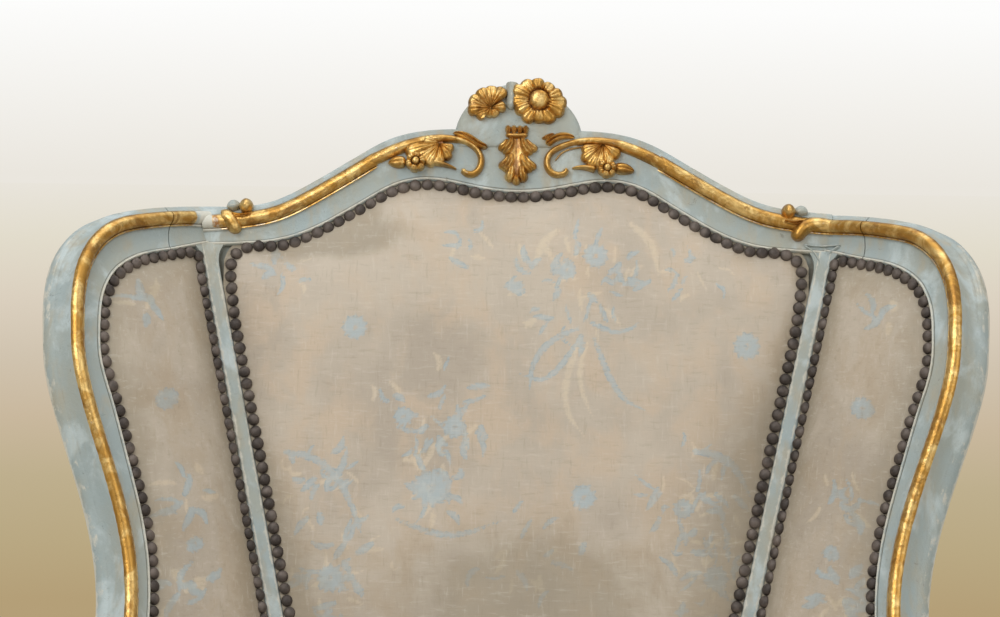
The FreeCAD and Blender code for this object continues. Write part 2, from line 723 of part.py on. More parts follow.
def side_band(inner, outer, crown=0.0, rows=None):
    """Curved upright band between two offsets from the side line, swelling at mid height."""
    wires = []
    for index, (z, rear, middle, front) in enumerate(rows or SIDE_ROWS):
        line = [rear, middle, front]
        swell = crown if index in (1, 2) else 0.0
        near = drawn_in(line, -outer, z)
        near[1] = near[1] - plan_normals(line)[1] * swell
        far = drawn_in(line, -inner, z)
        wires.append(spread([arc_edge(*near), line_edge(near[-1], far[-1]),
                             arc_edge(far[-1], far[1], far[0]), line_edge(far[0], near[0])],
                            (8, 1, 8, 1)))
    return stacked(wires)


def side_layers():
    """Hessian, stuffing, inner cover and outer cover of a closed arm."""
    hessian = side_band(0, HESSIAN_THICK)
    full = HESSIAN_THICK + SIDE_STUFFING
    stuffing = side_band(HESSIAN_THICK, full, SIDE_CROWN).cut(hessian)
    cover = side_band(HESSIAN_THICK, full + COVER_THICK, SIDE_CROWN).cut([stuffing, hessian])
    rows = [(SKIN_FOOT,) + SIDE_ROWS[0][1:]] + SIDE_ROWS[1:]
    skin = side_band(-SIDE_SKIN - SKIN_THICK, -SIDE_SKIN, 0.0, rows)
    return hessian, stuffing, cover, skin


def tack_room():
    """Flat-fronted room before a stile, where the side hessian stops short of it."""
    low, high = SIDE_ROWS[0][0] - SIDE_SPARE, SIDE_ROWS[-1][0] + SIDE_SPARE
    face = [V(0, back_y(z) - SIDE_TACK_GAP, z) for z in (low, high)]
    return slab(face + [spot + V(0, 4 * SIDE_TACK_GAP, 0) for spot in reversed(face)], V(REACH, 0, 0))


def deck_outline(z, inset):
    """Plan of the seat deck inside the rail edges."""
    side = offset_line(SIDE_LINE, -DECK_SIDE_INSET - inset, z)
    other = [V(-spot.x, spot.y, z) for spot in side]
    front = [V(x * DECK_NOSE_SHARE, y + DECK_NOSE_INSET + inset, z) for x, y in FRONT_FACE[1:-1]]
    corner = V(LEG_CENTRE[0] - DECK_CORNER[0] - inset, front[-1].y + DECK_CORNER[1], z)
    nose = [V(-corner.x, corner.y, z)] + front + [corner]
    return spread([spline_edge(nose), line_edge(nose[-1], side[-1]), spline_edge(list(reversed(side))),
                   line_edge(side[0], other[0]), spline_edge(other), line_edge(other[-1], nose[0])],
                  (10, 1, 6, 1, 6, 1))


def deck_layers():
    """Webbing, hessian, stuffing and cover of the seat."""
    trim = slab(deck_outline(SEAT_TOP, DECK_TACK_EDGE), UP * 2 * WEB_THICK)
    strips = []
    for x in DECK_WEB_COLUMNS:
        strips.append(Part.makeBox(WEB_WIDTH, 2 * REACH, WEB_THICK, V(x - WEB_WIDTH / 2, -REACH, SEAT_TOP)))
    for y in DECK_WEB:
        strips.append(Part.makeBox(2 * REACH, WEB_WIDTH, WEB_THICK,
                                   V(-REACH, y - WEB_WIDTH / 2, SEAT_TOP + WEB_THICK)))
    webbing = Part.makeCompound([strip.common(trim) for strip in strips])
    low = SEAT_TOP + 2 * WEB_THICK
    hessian = slab(deck_outline(low, DECK_TACK_EDGE), UP * HESSIAN_THICK)
    low += HESSIAN_THICK
    stuffing = slab(deck_outline(low, DECK_PAD_EDGE), UP * DECK_STUFFING)
    cover = slab(deck_outline(low, 0), UP * (DECK_STUFFING + COVER_THICK)).cut(stuffing)
    return webbing, hessian, stuffing, cover


def cushion_outline(z, inset):
    """Plan of the loose cushion: bowed back, sides and nose with rounded corners."""
    half_back, back = CUSHION_BACK[0] - inset, CUSHION_BACK[1] - inset
    half_front, front = CUSHION_FRONT[0] - inset, CUSHION_FRONT[1] + inset
    slope = unit(V(half_front - half_back, front - back, 0))
    turn = CUSHION_CORNER
    bow_back, bow_side, bow_front = CUSHION_BOWS
    square = V(-slope.y, slope.x, 0)
    square = square if square.x > 0 else square * -1
    rear, nose = V(half_back, back, z), V(half_front, front, z)
    a, b = rear - OUTWARD * turn, rear + slope * turn
    c, d = nose - slope * turn, nose - OUTWARD * turn

    def soft(corner, start, end):
        return corner * CORNER_FULLNESS + (start + end) * (1 - CORNER_FULLNESS) / 2

    def flip(spot):
        return V(-spot.x, spot.y, spot.z)

    middle = (b + c) * 0.5 + square * bow_side
    return spread([
        arc_edge(flip(a), V(0, back + bow_back, z), a), arc_edge(a, soft(rear, a, b), b),
        arc_edge(b, middle, c), arc_edge(c, soft(nose, c, d), d),
        arc_edge(d, V(0, front - bow_front, z), flip(d)), arc_edge(flip(d), flip(soft(nose, c, d)), flip(c)),
        arc_edge(flip(c), flip(middle), flip(b)), arc_edge(flip(b), flip(soft(rear, a, b)), flip(a))],
        (4, 2, 5, 3, 6, 3, 5, 2))


def cushion_pieces():
    """Feather pad and its crowned cover with sides drawn in between the seams."""
    low = SEAT_TOP + 2 * WEB_THICK + HESSIAN_THICK + DECK_STUFFING + COVER_THICK + CUSHION_GAP

    def body(thinner):
        levels = [low + rise for rise, inset in CUSHION_ROWS]
        levels[0] += thinner
        levels[-1] -= thinner
        return stacked([cushion_outline(z, inset + thinner)
                        for z, (_, inset) in zip(levels, CUSHION_ROWS)])

    pad = body(COVER_THICK)
    return pad, body(0.0).cut(pad)


def arm_pad():
    """Stuffing and cover of the small pad on top of an arm."""

    def body(grow):
        wires = []
        normals = plan_normals([spot for spot, _, _ in PAD_ROWS])
        for index, (((x, y), half, rise), side) in enumerate(zip(PAD_ROWS, normals)):
            along = V(0, grow * (2 - index) / 2, 0)
            left = V(x, y, ARM_TOP) - side * (half + grow) + along
            right = V(x, y, ARM_TOP) + side * (half + grow - PAD_UNDERCUT) + along
            top = (left + right) * 0.5 + UP * (rise + grow)
            wires.append(spread([line_edge(left, right), arc_edge(right, top, left)], (1, 7)))
        return stacked(wires)

    stuffing = body(0.0)
    return stuffing, body(PAD_COVER).cut(stuffing)


def corner_blocks():
    """Glue blocks of the right-hand seat corners."""
    low, high = BLOCK_HEIGHTS
    return Part.makeCompound([slab([V(x, y, low) for x, y in corners], UP * (high - low))
                              for corners in CORNER_BLOCKS])


def join(pieces):
    """Let each tenon into its mortise."""
    for owner, taker, corner, size in TENONS:
        tenon = Part.makeBox(*size, V(*corner))
        owned = both(tenon) if owner in MIDDLE_PIECES else tenon
        pieces[owner] = pieces[owner].fuse(list(owned.Solids))
        pieces[taker] = pieces[taker].cut(tenon)
    (left, right), (low, high), (deep, shallow) = STILE_TENON
    outline = [back_point(x, z, deep) for x, z in ((left, low), (right, low), (right, high), (left, high))]
    tenon = slab(outline, BACK_NORMAL * (shallow - deep))
    pieces["back_stile"] = pieces["back_stile"].fuse(tenon)
    pieces["crest_rail"] = pieces["crest_rail"].cut(both(tenon))


def timber():
    """Timber pieces seated on each other: name to shape, right-hand ones for pairs."""
    pieces = {
        "crest_rail": crest_rail(),
        "wing_top_rail": wing_top_rail(),
        "wing_upright": wing_upright(),
        "front_leg": front_leg(),
    }
    pieces["back_stile"] = back_stile().cut(pieces["crest_rail"]).cut(pieces["wing_top_rail"])
    stiles = both(pieces["back_stile"])
    legs = both(pieces["front_leg"])
    pieces["seat_back_rail"] = seat_back_rail().cut(stiles)
    pieces["back_lower_rail"] = lower_rail().cut(stiles)
    pieces["seat_front_rail"] = seat_front_rail().cut(legs)
    pieces["seat_side_rail"] = seat_side_rail().cut(legs).cut(stiles).cut(pieces["seat_back_rail"])
    pieces["arm_rail"] = arm_rail().cut(stiles).cut(pieces["wing_upright"])
    pieces["arm_support"] = arm_support().cut(pieces["arm_rail"]).cut(pieces["seat_side_rail"])
    join(pieces)
    rails = [pieces[name] for name in ("seat_front_rail", "seat_side_rail", "seat_back_rail")]
    pieces["corner_blocks"] = corner_blocks().cut(rails + [legs, stiles])
    return pieces


def upholstery(frame):
    """Soft pieces, trimmed where the timber stands: name to shape."""
    posts = both(Part.makeCompound([frame["back_stile"], frame["arm_support"]]))
    names = ("back_stile", "arm_support", "arm_rail", "wing_upright", "seat_side_rail")
    side_frame = [frame[name] for name in names]
    back = panel_layers(back_outline, BACK_CROWN, BACK_ROLL)
    wing = panel_layers(wing_outline, WING_CROWN, WING_ROLL)
    webbing, hessian, stuffing, cover = deck_layers()
    side = side_layers()
    pad, case = cushion_pieces()
    arm_stuffing, arm_cover = arm_pad()
    return {
        "back_webbing": back_webbing(),
        "back_hessian": back[0],
        "back_stuffing": back[1],
        "back_inner_cover": back[2].cut(posts),
        "back_outer_cover": back_skin(),
        "seat_webbing": webbing.cut(posts),
        "seat_hessian": hessian.cut(posts),
        "seat_stuffing": stuffing.cut(posts),
        "seat_deck_cover": cover.cut(posts),
        "cushion_pad": pad,
        "cushion_cover": case,
        "wing_hessian": wing[0].cut(side_frame),
        "wing_stuffing": wing[1].cut(side_frame),
        "wing_inner_cover": wing[2].cut(side_frame),
        "wing_outer_cover": wing_skin().cut(side_frame),
        "side_hessian": side[0].cut(tack_room()).cut(side_frame),
        "side_stuffing": side[1].cut(side_frame),
        "side_inner_cover": side[2].cut(side_frame),
        "side_outer_cover": side[3].cut(side_frame),
        "arm_pad_stuffing": arm_stuffing.cut(frame["arm_rail"]),
        "arm_pad_cover": arm_cover.cut(frame["arm_rail"]),
    }


def main():
    """Build and write every node; a group holds both sides, a pair is two nodes."""
    os.makedirs("parts", exist_ok=True)
    frame = timber()
    for name, shape in {**frame, **upholstery(frame)}.items():
        if name in MIDDLE_PIECES:
            shape.exportStep("parts/" + name + ".step")
        elif name in GROUPS:
            both(shape).exportStep("parts/" + name + ".step")
        else:
            shape.exportStep("parts/" + name + "_right.step")
            mirrored(shape).exportStep("parts/" + name + "_left.step")


main()
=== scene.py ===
"""Looks of a painted, parcel-gilt wing bergere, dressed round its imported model.

Tables are in millimetres in the chair's own frame: it faces -Y, +Z is up and the
floor is z 0. Meshes are written in metres, at the origin. Tables describe the
right-hand side (+X); the left is its mirror.
"""
import json
import logging
import math
from dataclasses import dataclass, field
from enum import Enum
from functools import partial
from typing import Callable, Iterable, Sequence

import bmesh
import bpy
import numpy as np
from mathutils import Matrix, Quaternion, Vector

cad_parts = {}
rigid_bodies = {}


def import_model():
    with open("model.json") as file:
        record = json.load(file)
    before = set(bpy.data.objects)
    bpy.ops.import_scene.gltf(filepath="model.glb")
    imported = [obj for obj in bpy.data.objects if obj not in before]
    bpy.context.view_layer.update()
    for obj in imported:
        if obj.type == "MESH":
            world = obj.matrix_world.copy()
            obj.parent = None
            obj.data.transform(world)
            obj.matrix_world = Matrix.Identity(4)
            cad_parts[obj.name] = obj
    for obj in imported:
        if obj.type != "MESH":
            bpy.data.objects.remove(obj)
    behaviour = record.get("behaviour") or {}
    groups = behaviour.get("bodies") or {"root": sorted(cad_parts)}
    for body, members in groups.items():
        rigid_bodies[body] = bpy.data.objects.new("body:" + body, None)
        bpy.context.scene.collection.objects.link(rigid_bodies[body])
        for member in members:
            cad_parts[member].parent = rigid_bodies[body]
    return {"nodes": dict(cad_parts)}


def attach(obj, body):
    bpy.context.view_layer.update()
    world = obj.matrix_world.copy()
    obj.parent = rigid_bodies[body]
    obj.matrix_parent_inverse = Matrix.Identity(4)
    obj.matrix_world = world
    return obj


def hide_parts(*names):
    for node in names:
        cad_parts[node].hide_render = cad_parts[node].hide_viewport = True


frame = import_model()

LOG = logging.getLogger("bergere")
MM = 0.001
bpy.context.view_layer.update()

RAKE = math.radians(11)
TURN = math.radians(48)
SEAT_TOP = 320.0
BACK_FACE_Y = 185.0
STILE_FOOT_X, STILE_SLOPE = 59.8, 0.2127
STILE_BEND = (450.0, 650.0)
NAIL_INSET = 12.5
PITCH = 10.2

Array = np.ndarray


class Slot(Enum):
    """Material slots of the record."""

    FRAME = "painted_gilt_wood"
    HIDE = "painted_hide"
    PLAIN = "plain_hide"


class Side(Enum):
    """Which side of the chair a piece belongs to, as the sign of its x."""

    RIGHT = 1
    LEFT = -1

    @property
    def tag(self) -> str:
        """Lower-case name for piece names."""
        return self.name.lower()


def vec(x: float, y: float, z: float) -> Array:
    """Three numbers as an array."""
    return np.array([x, y, z], float)


def unit(a: Array) -> Array:
    """Vectors of length 1, along the last axis."""
    return a / np.linalg.norm(a, axis=-1, keepdims=True)


BACK_NORMAL = vec(0, -math.cos(RAKE), math.sin(RAKE))
WING_NORMAL = unit(vec(-math.tan(TURN), -1, math.tan(RAKE) + math.tan(TURN) * STILE_SLOPE))
UP = vec(0, 0, 1)


def stile_x(z: Array) -> Array:
    """Stile centre line: straight above, eased to upright at the waist.

    Args:
        z: Heights.

    Returns:
        The x of the centre line at each height.
    """
    z = np.asarray(z, float)
    low, high = STILE_BEND
    waist = STILE_FOOT_X + STILE_SLOPE * high - STILE_SLOPE * (high - low) / 2
    rise = np.clip(z - low, 0, None)
    return np.where(z >= high, STILE_FOOT_X + STILE_SLOPE * z,
                    waist + STILE_SLOPE * rise ** 2 / (2 * (high - low)))


def back_y(z: Array) -> Array:
    """Front face of the back frame at each height."""
    return BACK_FACE_Y + (np.asarray(z, float) - SEAT_TOP) * math.tan(RAKE)


def back_point(x: Array, z: Array, out: Array = 0.0) -> Array:
    """Points of the back plane, moved out along its front normal.

    Args:
        x: Sideways places.
        z: Heights.
        out: Distances in front of the plane.

    Returns:
        Points, with the coordinates on the last axis.
    """
    x, z, out = np.broadcast_arrays(*(np.asarray(a, float) for a in (x, z, out)))
    return np.stack([x, back_y(z), z], -1) + BACK_NORMAL * out[..., None]


def wing_point(x: Array, z: Array, out: Array = 0.0) -> Array:
    """Points of the right wing's plane, moved out along its front normal.

    Args:
        x: Sideways places.
        z: Heights.
        out: Distances in front of the plane.

    Returns:
        Points, with the coordinates on the last axis.
    """
    x, z, out = np.broadcast_arrays(*(np.asarray(a, float) for a in (x, z, out)))
    y = back_y(z) - (x - STILE_FOOT_X - STILE_SLOPE * z) * math.tan(TURN)
    return np.stack([x, y, z], -1) + WING_NORMAL * out[..., None]


def spline(knots: Array, values: Array, at: Array) -> Array:
    """Natural cubic spline.

    Args:
        knots: Increasing places of the values.
        values: One row per knot.
        at: Places to read.

    Returns:
        One row per place.
    """
    n, h = len(knots), np.diff(knots)
    matrix, right = np.zeros((n, n)), np.zeros((n, values.shape[1]))
    matrix[0, 0] = matrix[-1, -1] = 1
    for i in range(1, n - 1):
        matrix[i, i - 1:i + 2] = h[i - 1], 2 * (h[i - 1] + h[i]), h[i]
        right[i] = 6 * ((values[i + 1] - values[i]) / h[i] - (values[i] - values[i - 1]) / h[i - 1])
    bend = np.linalg.solve(matrix, right)
    k = np.clip(np.searchsorted(knots, at, side="right") - 1, 0, n - 2)
    gap, a, b = h[k][:, None], (knots[k + 1] - at)[:, None], (at - knots[k])[:, None]
    return (bend[k] * a ** 3 + bend[k + 1] * b ** 3) / (6 * gap) \
        + (values[k] / gap - bend[k] * gap / 6) * a + (values[k + 1] / gap - bend[k + 1] * gap / 6) * b


def smooth_line(points: Sequence[Sequence[float]], count: int, measured: int = 3) -> Array:
    """Rows spread evenly along a smooth line through a few stations.

    Args:
        points: Stations, one row each.
        count: How many rows to return.
        measured: How many leading columns give the line's length.

    Returns:
        The rows.
    """
    rows = np.asarray(points, float)
    gaps = np.linalg.norm(np.diff(rows[:, :measured], axis=0), axis=1)
    knots = np.r_[0, np.cumsum(gaps)]
    fine = spline(knots, rows, np.linspace(0, knots[-1], 40 * len(rows)))
    run = np.r_[0, np.cumsum(np.linalg.norm(np.diff(fine[:, :measured], axis=0), axis=1))]
    even = np.linspace(0, run[-1], count)
    return np.stack([np.interp(even, run, column) for column in fine.T], 1)


@dataclass
class Shell:
    """Points, faces and surface values of a mesh before it becomes a piece."""

    points: Array
    faces: list[tuple[int, ...]]
    values: dict[str, Array] = field(default_factory=dict)

    def mirrored(self, side: Side) -> "Shell":
        """The shell on the asked side, given a right-hand shell."""
        return Shell(self.points * vec(side.value, 1, 1), self.faces, self.values)

    @staticmethod
    def joined(shells: Iterable["Shell"]) -> "Shell":
        """Several shells as one.

        Args:
            shells: Shells with any values; a missing one counts as 0.

        Returns:
            One shell.
        """
        shells = list(shells)
        names = sorted({name for shell in shells for name in shell.values})
        starts = np.cumsum([0] + [len(shell.points) for shell in shells])
        faces = [tuple(int(i + start) for i in face)
                 for shell, start in zip(shells, starts) for face in shell.faces]
        values = {name: np.concatenate([shell.values.get(name, np.zeros(len(shell.points)))
                                        for shell in shells]) for name in names}
        return Shell(np.concatenate([shell.points for shell in shells]), faces, values)


def loft(sections: Array, values: dict[str, Array] | None = None, closed: bool = False) -> Shell:
    """Closed skin through matching closed sections.

    Args:
        sections: Array of stations by corners by 3.
        values: Surface values, stations by corners or one row of corners.
        closed: True if the last section joins the first.

    Returns:
        The shell, capped at both ends unless closed.
    """
    stations, corners = sections.shape[:2]
    faces = []
    for s in range(stations if closed else stations - 1):
        here, there = s * corners, (s + 1) % stations * corners
        for c in range(corners):
            d = (c + 1) % corners
            faces.append((here + c, here + d, there + d, there + c))
    if not closed:
        faces.append(tuple(reversed(range(corners))))
        faces.append(tuple(range((stations - 1) * corners, stations * corners)))
    flat = {name: np.broadcast_to(value, (stations, corners)).ravel()
            for name, value in (values or {}).items()}
    return Shell(sections.reshape(-1, 3), faces, flat)


def grid_faces(rows: int, columns: int) -> tuple[list[tuple[int, ...]], list[int]]:
    """Four-sided faces of a grid of points, and its rim in order.

    Args:
        rows: Rows of points.
        columns: Points in a row.

    Returns:
        The faces and the numbers of the rim's points.
    """
    index = np.arange(rows * columns).reshape(rows, columns)
    corners = np.stack([index[:-1, :-1], index[:-1, 1:], index[1:, 1:], index[1:, :-1]], -1)
    rim = np.concatenate([index[0], index[1:, -1], index[-1, -2::-1], index[-2:0:-1, 0]])
    return [tuple(face) for face in corners.reshape(-1, 4).tolist()], rim.tolist()


def plate(front: Array, back: Array, values: dict[str, Array] | None = None) -> Shell:
    """Closed slab between two matching grids.

    Args:
        front: Grid of rows by columns by 3.
        back: The same grid for the other face.
        values: Surface values on the front grid.

    Returns:
        The shell.
    """
    rows, columns = front.shape[:2]
    size = rows * columns
    faces, rim = grid_faces(rows, columns)
    faces += [tuple(i + size for i in reversed(face)) for face in faces]
    faces += [(b, a, a + size, b + size) for a, b in zip(rim, rim[1:] + rim[:1])]
    flat = {name: np.tile(np.broadcast_to(value, (rows, columns)).ravel(), 2)
            for name, value in (values or {}).items()}
    return Shell(np.concatenate([front.reshape(-1, 3), back.reshape(-1, 3)]), faces, flat)


def backed(front: Array, drop: Array, values: dict[str, Array]) -> Shell:
    """Closed pad: a dense front grid, a short skirt and one flat back face.

    Args:
        front: Grid of rows by columns by 3, its rim lying in one plane.
        drop: Vector from the rim to the back.
        values: Surface values on the front grid.

    Returns:
        The shell.
    """
    rows, columns = front.shape[:2]
    faces, rim = grid_faces(rows, columns)
    points = front.reshape(-1, 3)
    start, size = len(points), len(rim)
    faces += [(rim[(k + 1) % size], rim[k], start + k, start + (k + 1) % size) for k in range(size)]
    faces.append(tuple(start + k for k in reversed(range(size))))
    flat = {}
    for name, value in values.items():
        grid = np.broadcast_to(value, (rows, columns)).ravel()
        flat[name] = np.concatenate([grid, grid[rim]])
    return Shell(np.concatenate([points, points[rim] + drop]), faces, flat)


def make_piece(name: str, shell: Shell, material: bpy.types.Material, slot: Slot, body: str = "chair",
               replaces: Sequence[str] = (), crease: float = 38.0) -> bpy.types.Object:
    """Turn a shell in millimetres into a piece on a body.

    Args:
        name: Piece name.
        shell: Its mesh.
        material: Its finish.
        slot: The record's slot; not used.
        body: The body it rides on.
        replaces: Solids that it stands for.
        crease: Edges sharper than this many degrees stay sharp.

    Returns:
        The object.
    """
    mesh = bpy.data.meshes.new(name)
    mesh.from_pydata((shell.points * MM).tolist(), [], shell.faces)
    for key, value in shell.values.items():
        mesh.attributes.new(key, "FLOAT", "POINT").data.foreach_set("value", value.astype(np.float32))
    work = bmesh.new()
    work.from_mesh(mesh)
    bmesh.ops.recalc_face_normals(work, faces=work.faces)
    work.to_mesh(mesh)
    work.free()
    mesh.shade_smooth()
    mesh.set_sharp_from_angle(angle=math.radians(crease))
    mesh.materials.append(material)
    piece = bpy.data.objects.new(name, mesh)
    bpy.context.scene.collection.objects.link(piece)
    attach(piece, body)
    if replaces:
        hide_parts(*replaces)
    LOG.info("%s: %d faces", name, len(mesh.polygons))
    return piece


def linear(code: str) -> tuple[float, float, float, float]:
    """Linear colour from six sRGB hex digits, fully opaque."""
    parts = [int(code[i:i + 2], 16) / 255 for i in (0, 2, 4)]
    return (*(p / 12.92 if p <= 0.04045 else ((p + 0.055) / 1.055) ** 2.4 for p in parts), 1.0)


@dataclass(frozen=True)
class Tone:
    """Output of a node. Each +, - or * on it adds a node."""

    tree: bpy.types.NodeTree
    socket: bpy.types.NodeSocket

    def math(self, kind: str, a: "Tone | float", b: "Tone | float") -> "Tone":
        """Arithmetic on two values."""
        return Tone(self.tree, output(self.tree, "ShaderNodeMath", {0: a, 1: b}, operation=kind))

    def __add__(self, other: "Tone | float") -> "Tone":
        """Sum."""
        return self.math("ADD", self, other)

    def __sub__(self, other: "Tone | float") -> "Tone":
        """Difference."""
        return self.math("SUBTRACT", self, other)

    def __rsub__(self, other: float) -> "Tone":
        """Difference from a number."""
        return self.math("SUBTRACT", other, self)

    def __mul__(self, other: "Tone | float") -> "Tone":
        """Product."""
        return self.math("MULTIPLY", self, other)


def node(tree: bpy.types.NodeTree, kind: str, settings: dict | None = None,
         inputs: dict | None = None) -> bpy.types.Node:
    """Add a node with its settings, values and links.

    Args:
        tree: Node tree to add to.
        kind: Node type.
        settings: Node properties.
        inputs: Socket name or number to a value or an output to link.

    Returns:
        The node.
    """
    made = tree.nodes.new(kind)
    for key, value in (settings or {}).items():
        setattr(made, key, value)
    for key, value in (inputs or {}).items():
        value = value.socket if isinstance(value, Tone) else value
        if isinstance(value, bpy.types.NodeSocket):
            tree.links.new(value, made.inputs[key])
        else:
            made.inputs[key].default_value = value
    return made


def output(tree: bpy.types.NodeTree, kind: str, inputs: dict | None = None, socket: str | int = 0,
           **settings: str | bool) -> bpy.types.NodeSocket:
    """Add a node and take one of its outputs.

    Args:
        tree: Node tree to add to.
        kind: Node type.
        inputs: Socket name or number to a value or an output to link.
        socket: Name or number of the output.
        settings: Node properties.

    Returns:
        The output.
    """
    return node(tree, kind, settings, inputs).outputs[socket]


class Finish:
    """A node tree under construction for one real finish."""

    def __init__(self, name: str) -> None:
        """Start an empty material with a shader and object coordinates."""
        self.material = bpy.data.materials.new(name)
        self.material.use_nodes = True
        self.tree = self.material.node_tree
        self.tree.nodes.clear()
        self.place = node(self.tree, "ShaderNodeTexCoord").outputs["Object"]
        self.shader = node(self.tree, "ShaderNodeBsdfPrincipled")
        self.end = node(self.tree, "ShaderNodeOutputMaterial", {}, {"Surface": self.shader.outputs[0]})

    def add(self, kind: str, inputs: dict, socket: str | int = 0, **settings: str | bool) -> Tone:
        """Add a node and take one of its outputs."""
        return Tone(self.tree, output(self.tree, kind, inputs, socket, **settings))

    def noise(self, size_mm: float, detail: float, rough: float,
              stretch: tuple[float, float, float] = (1, 1, 1), warp: float = 0.0) -> Tone:
        """Noise whose features are about a size, stretched along the axes.

        Args:
            size_mm: Feature size.
            detail: Octaves.
            rough: Weight of the fine octaves.
            stretch: Scale along each axis.
            warp: Distortion.

        Returns:
            The noise value.
        """
        mapped = self.add("ShaderNodeMapping", {"Vector": self.place, "Scale": stretch})
        return self.add("ShaderNodeTexNoise", {
            "Vector": mapped, "Scale": 1 / (size_mm * MM), "Detail": detail, "Roughness": rough,
            "Distortion": warp}, "Fac")

    def band(self, value: Tone, low: float, high: float) -> Tone:
        """Smooth step of a value from 0 at low to 1 at high."""
        return self.add("ShaderNodeMapRange", {0: value, 1: low, 2: high}, interpolation_type="SMOOTHSTEP")

    def clamped(self, kind: str, a: Tone | float, b: Tone | float) -> Tone:
        """Arithmetic on two values, kept between 0 and 1."""
        return self.add("ShaderNodeMath", {0: a, 1: b}, operation=kind, use_clamp=True)

    def mix(self, share: Tone, under: Tone | str, over: Tone | str) -> Tone:
        """Mix two colours.

        Args:
            share: How much of the second shows.
            under: First colour, as a tone or a hex code.
            over: Second colour, likewise.

        Returns:
            The mixed colour.
        """
        first, second = (linear(c) if isinstance(c, str) else c for c in (under, over))
        return self.add("ShaderNodeMix", {0: share, 6: first, 7: second}, 2, data_type="RGBA")

    def value(self, name: str) -> Tone:
        """A surface value stored on the mesh."""
        return self.add("ShaderNodeAttribute", {}, "Fac", attribute_name=name)

    def link(self, tone: Tone, name: str) -> None:
        """Feed a shader input."""
        self.tree.links.new(tone.socket, self.shader.inputs[name])

    def relief(self, height: Tone, depth_mm: float, strength: float) -> None:
        """Bump of a real depth on the shader's normal."""
        self.link(self.add("ShaderNodeBump", {
            "Height": height, "Distance": depth_mm * MM, "Strength": strength}), "Normal")


@dataclass(frozen=True)
class PaintedGiltWood:
    """Carved beech under gesso: pale grey-blue distemper with water-gilt mouldings.

    The paint is dry and chalky, darkened by painted shade in the hollows and rubbed
    to white gesso on the edges. The gold is thin leaf over red-brown bole that shows where it wore.
    """

    paint: str = "9FA39A"
    paint_cool: str = "9AA7A8"
    paint_warm: str = "A8A08B"
    paint_light: str = "BAC6C7"
    gesso: str = "CFCBBD"
    dirt: str = "5E5849"
    gold: str = "B98B42"
    gold_light: str = "EBCB86"
    gold_brown: str = "8E6430"
    bole: str = "8A5228"

    def make(self) -> bpy.types.Material:
        """Build the material. It reads the values gilt, edge and hollow."""
        f = Finish("painted_parcel_gilt_wood")
        gilt, edge, hollow = f.value("gilt"), f.value("edge"), f.value("hollow")
        broad, fine, grit = f.noise(70, 4, 0.6), f.noise(5, 6, 0.65), f.noise(1.6, 3, 0.6)
        streak = f.noise(16, 4, 0.6, (1, 1, 0.3))
        patch = f.noise(38, 5, 0.62, (1, 1, 0.8), 0.5)
        # distemper: two greys in clouds, chalky patches, yellowed runs
        colour = f.mix(f.band(broad, 0.35, 0.65), self.paint, self.paint_cool)
        colour = f.mix(f.band(patch, 0.5, 0.66) * 0.75, colour, self.paint_light)
        colour = f.mix(f.band(streak, 0.48, 0.72) * 0.7, colour, self.paint_warm)
        # gesso on rubbed edges, scuffs of dirt anywhere, painted shade in the hollows
        rubbed = edge * 0.42 + f.noise(11, 7, 0.7)
        colour = f.mix(f.band(rubbed, 0.66, 0.82) * 0.75, colour, self.gesso)
        scuffed = f.band(f.noise(7, 8, 0.78, (0.7, 1, 1), 1.0), 0.6, 0.68)
        colour = f.mix(scuffed * 0.45, colour, self.dirt)
        # painted shade: the paint darkens in the hollows
        colour = f.mix(f.band(hollow * 0.75 + fine * 0.35, 0.42, 0.95) * 0.85, colour, self.dirt)
        # leaf: bright and browned patches, bole in the hollows, gesso on edges
        leaf = f.mix(f.band(f.noise(18, 5, 0.66, warp=0.8), 0.42, 0.68), self.gold, self.gold_light)
        aged = f.band(f.noise(24, 6, 0.7, warp=1.2), 0.5, 0.64)
        leaf = f.mix(aged * 0.75, leaf, self.gold_brown)
        worn = hollow * 0.42 + f.noise(13, 7, 0.7, warp=0.6)
        leaf = f.mix(f.band(worn, 0.58, 0.86) * 0.8, leaf, self.bole)
        leaf = f.mix(f.band(edge * 0.25 + fine, 0.72, 0.8) * 0.5, leaf, self.gesso)
        # the leaf stops at a ragged line; it shines less where it wore
        shown = f.band(gilt + (fine - 0.5) * 0.7, 0.42, 0.6)
        f.link(f.mix(shown, colour, leaf), "Base Color")
        f.link(shown * 0.85 * (1 - f.band(worn, 0.6, 0.9) * 0.8), "Metallic")
        f.link(grit * 0.2 + 0.62 - shown * 0.4, "Roughness")
        f.relief(fine * 0.7 + grit * 0.3, 0.9, 0.8)
        return f.material


@dataclass(frozen=True)
class NailBronze:
    """Cast-looking iron nail heads with a dark bronzed finish, dull and pitted."""

    dark: str = "3B3430"
    light: str = "6A6059"
    bright: str = "C9C2B4"

    def make(self) -> bpy.types.Material:
        """Build the material. The value bright marks a later replacement nail."""
        f = Finish("bronzed_iron_nail")
        pitted, bright = f.noise(1.8, 5, 0.7), f.value("bright")
        # each head a little darker or lighter, its pits pale
        colour = f.mix(f.band(f.noise(14, 2, 0.5), 0.35, 0.7), self.dark, self.light)
        colour = f.mix(f.band(pitted, 0.5, 0.8) * 0.5, colour, self.light)
        f.link(f.mix(bright, colour, self.bright), "Base Color")
        f.link(bright * 0.6 + 0.35, "Metallic")
        f.link(0.55 - bright * 0.3, "Roughness")
        f.relief(pitted, 0.5, 0.7)
        return f.material


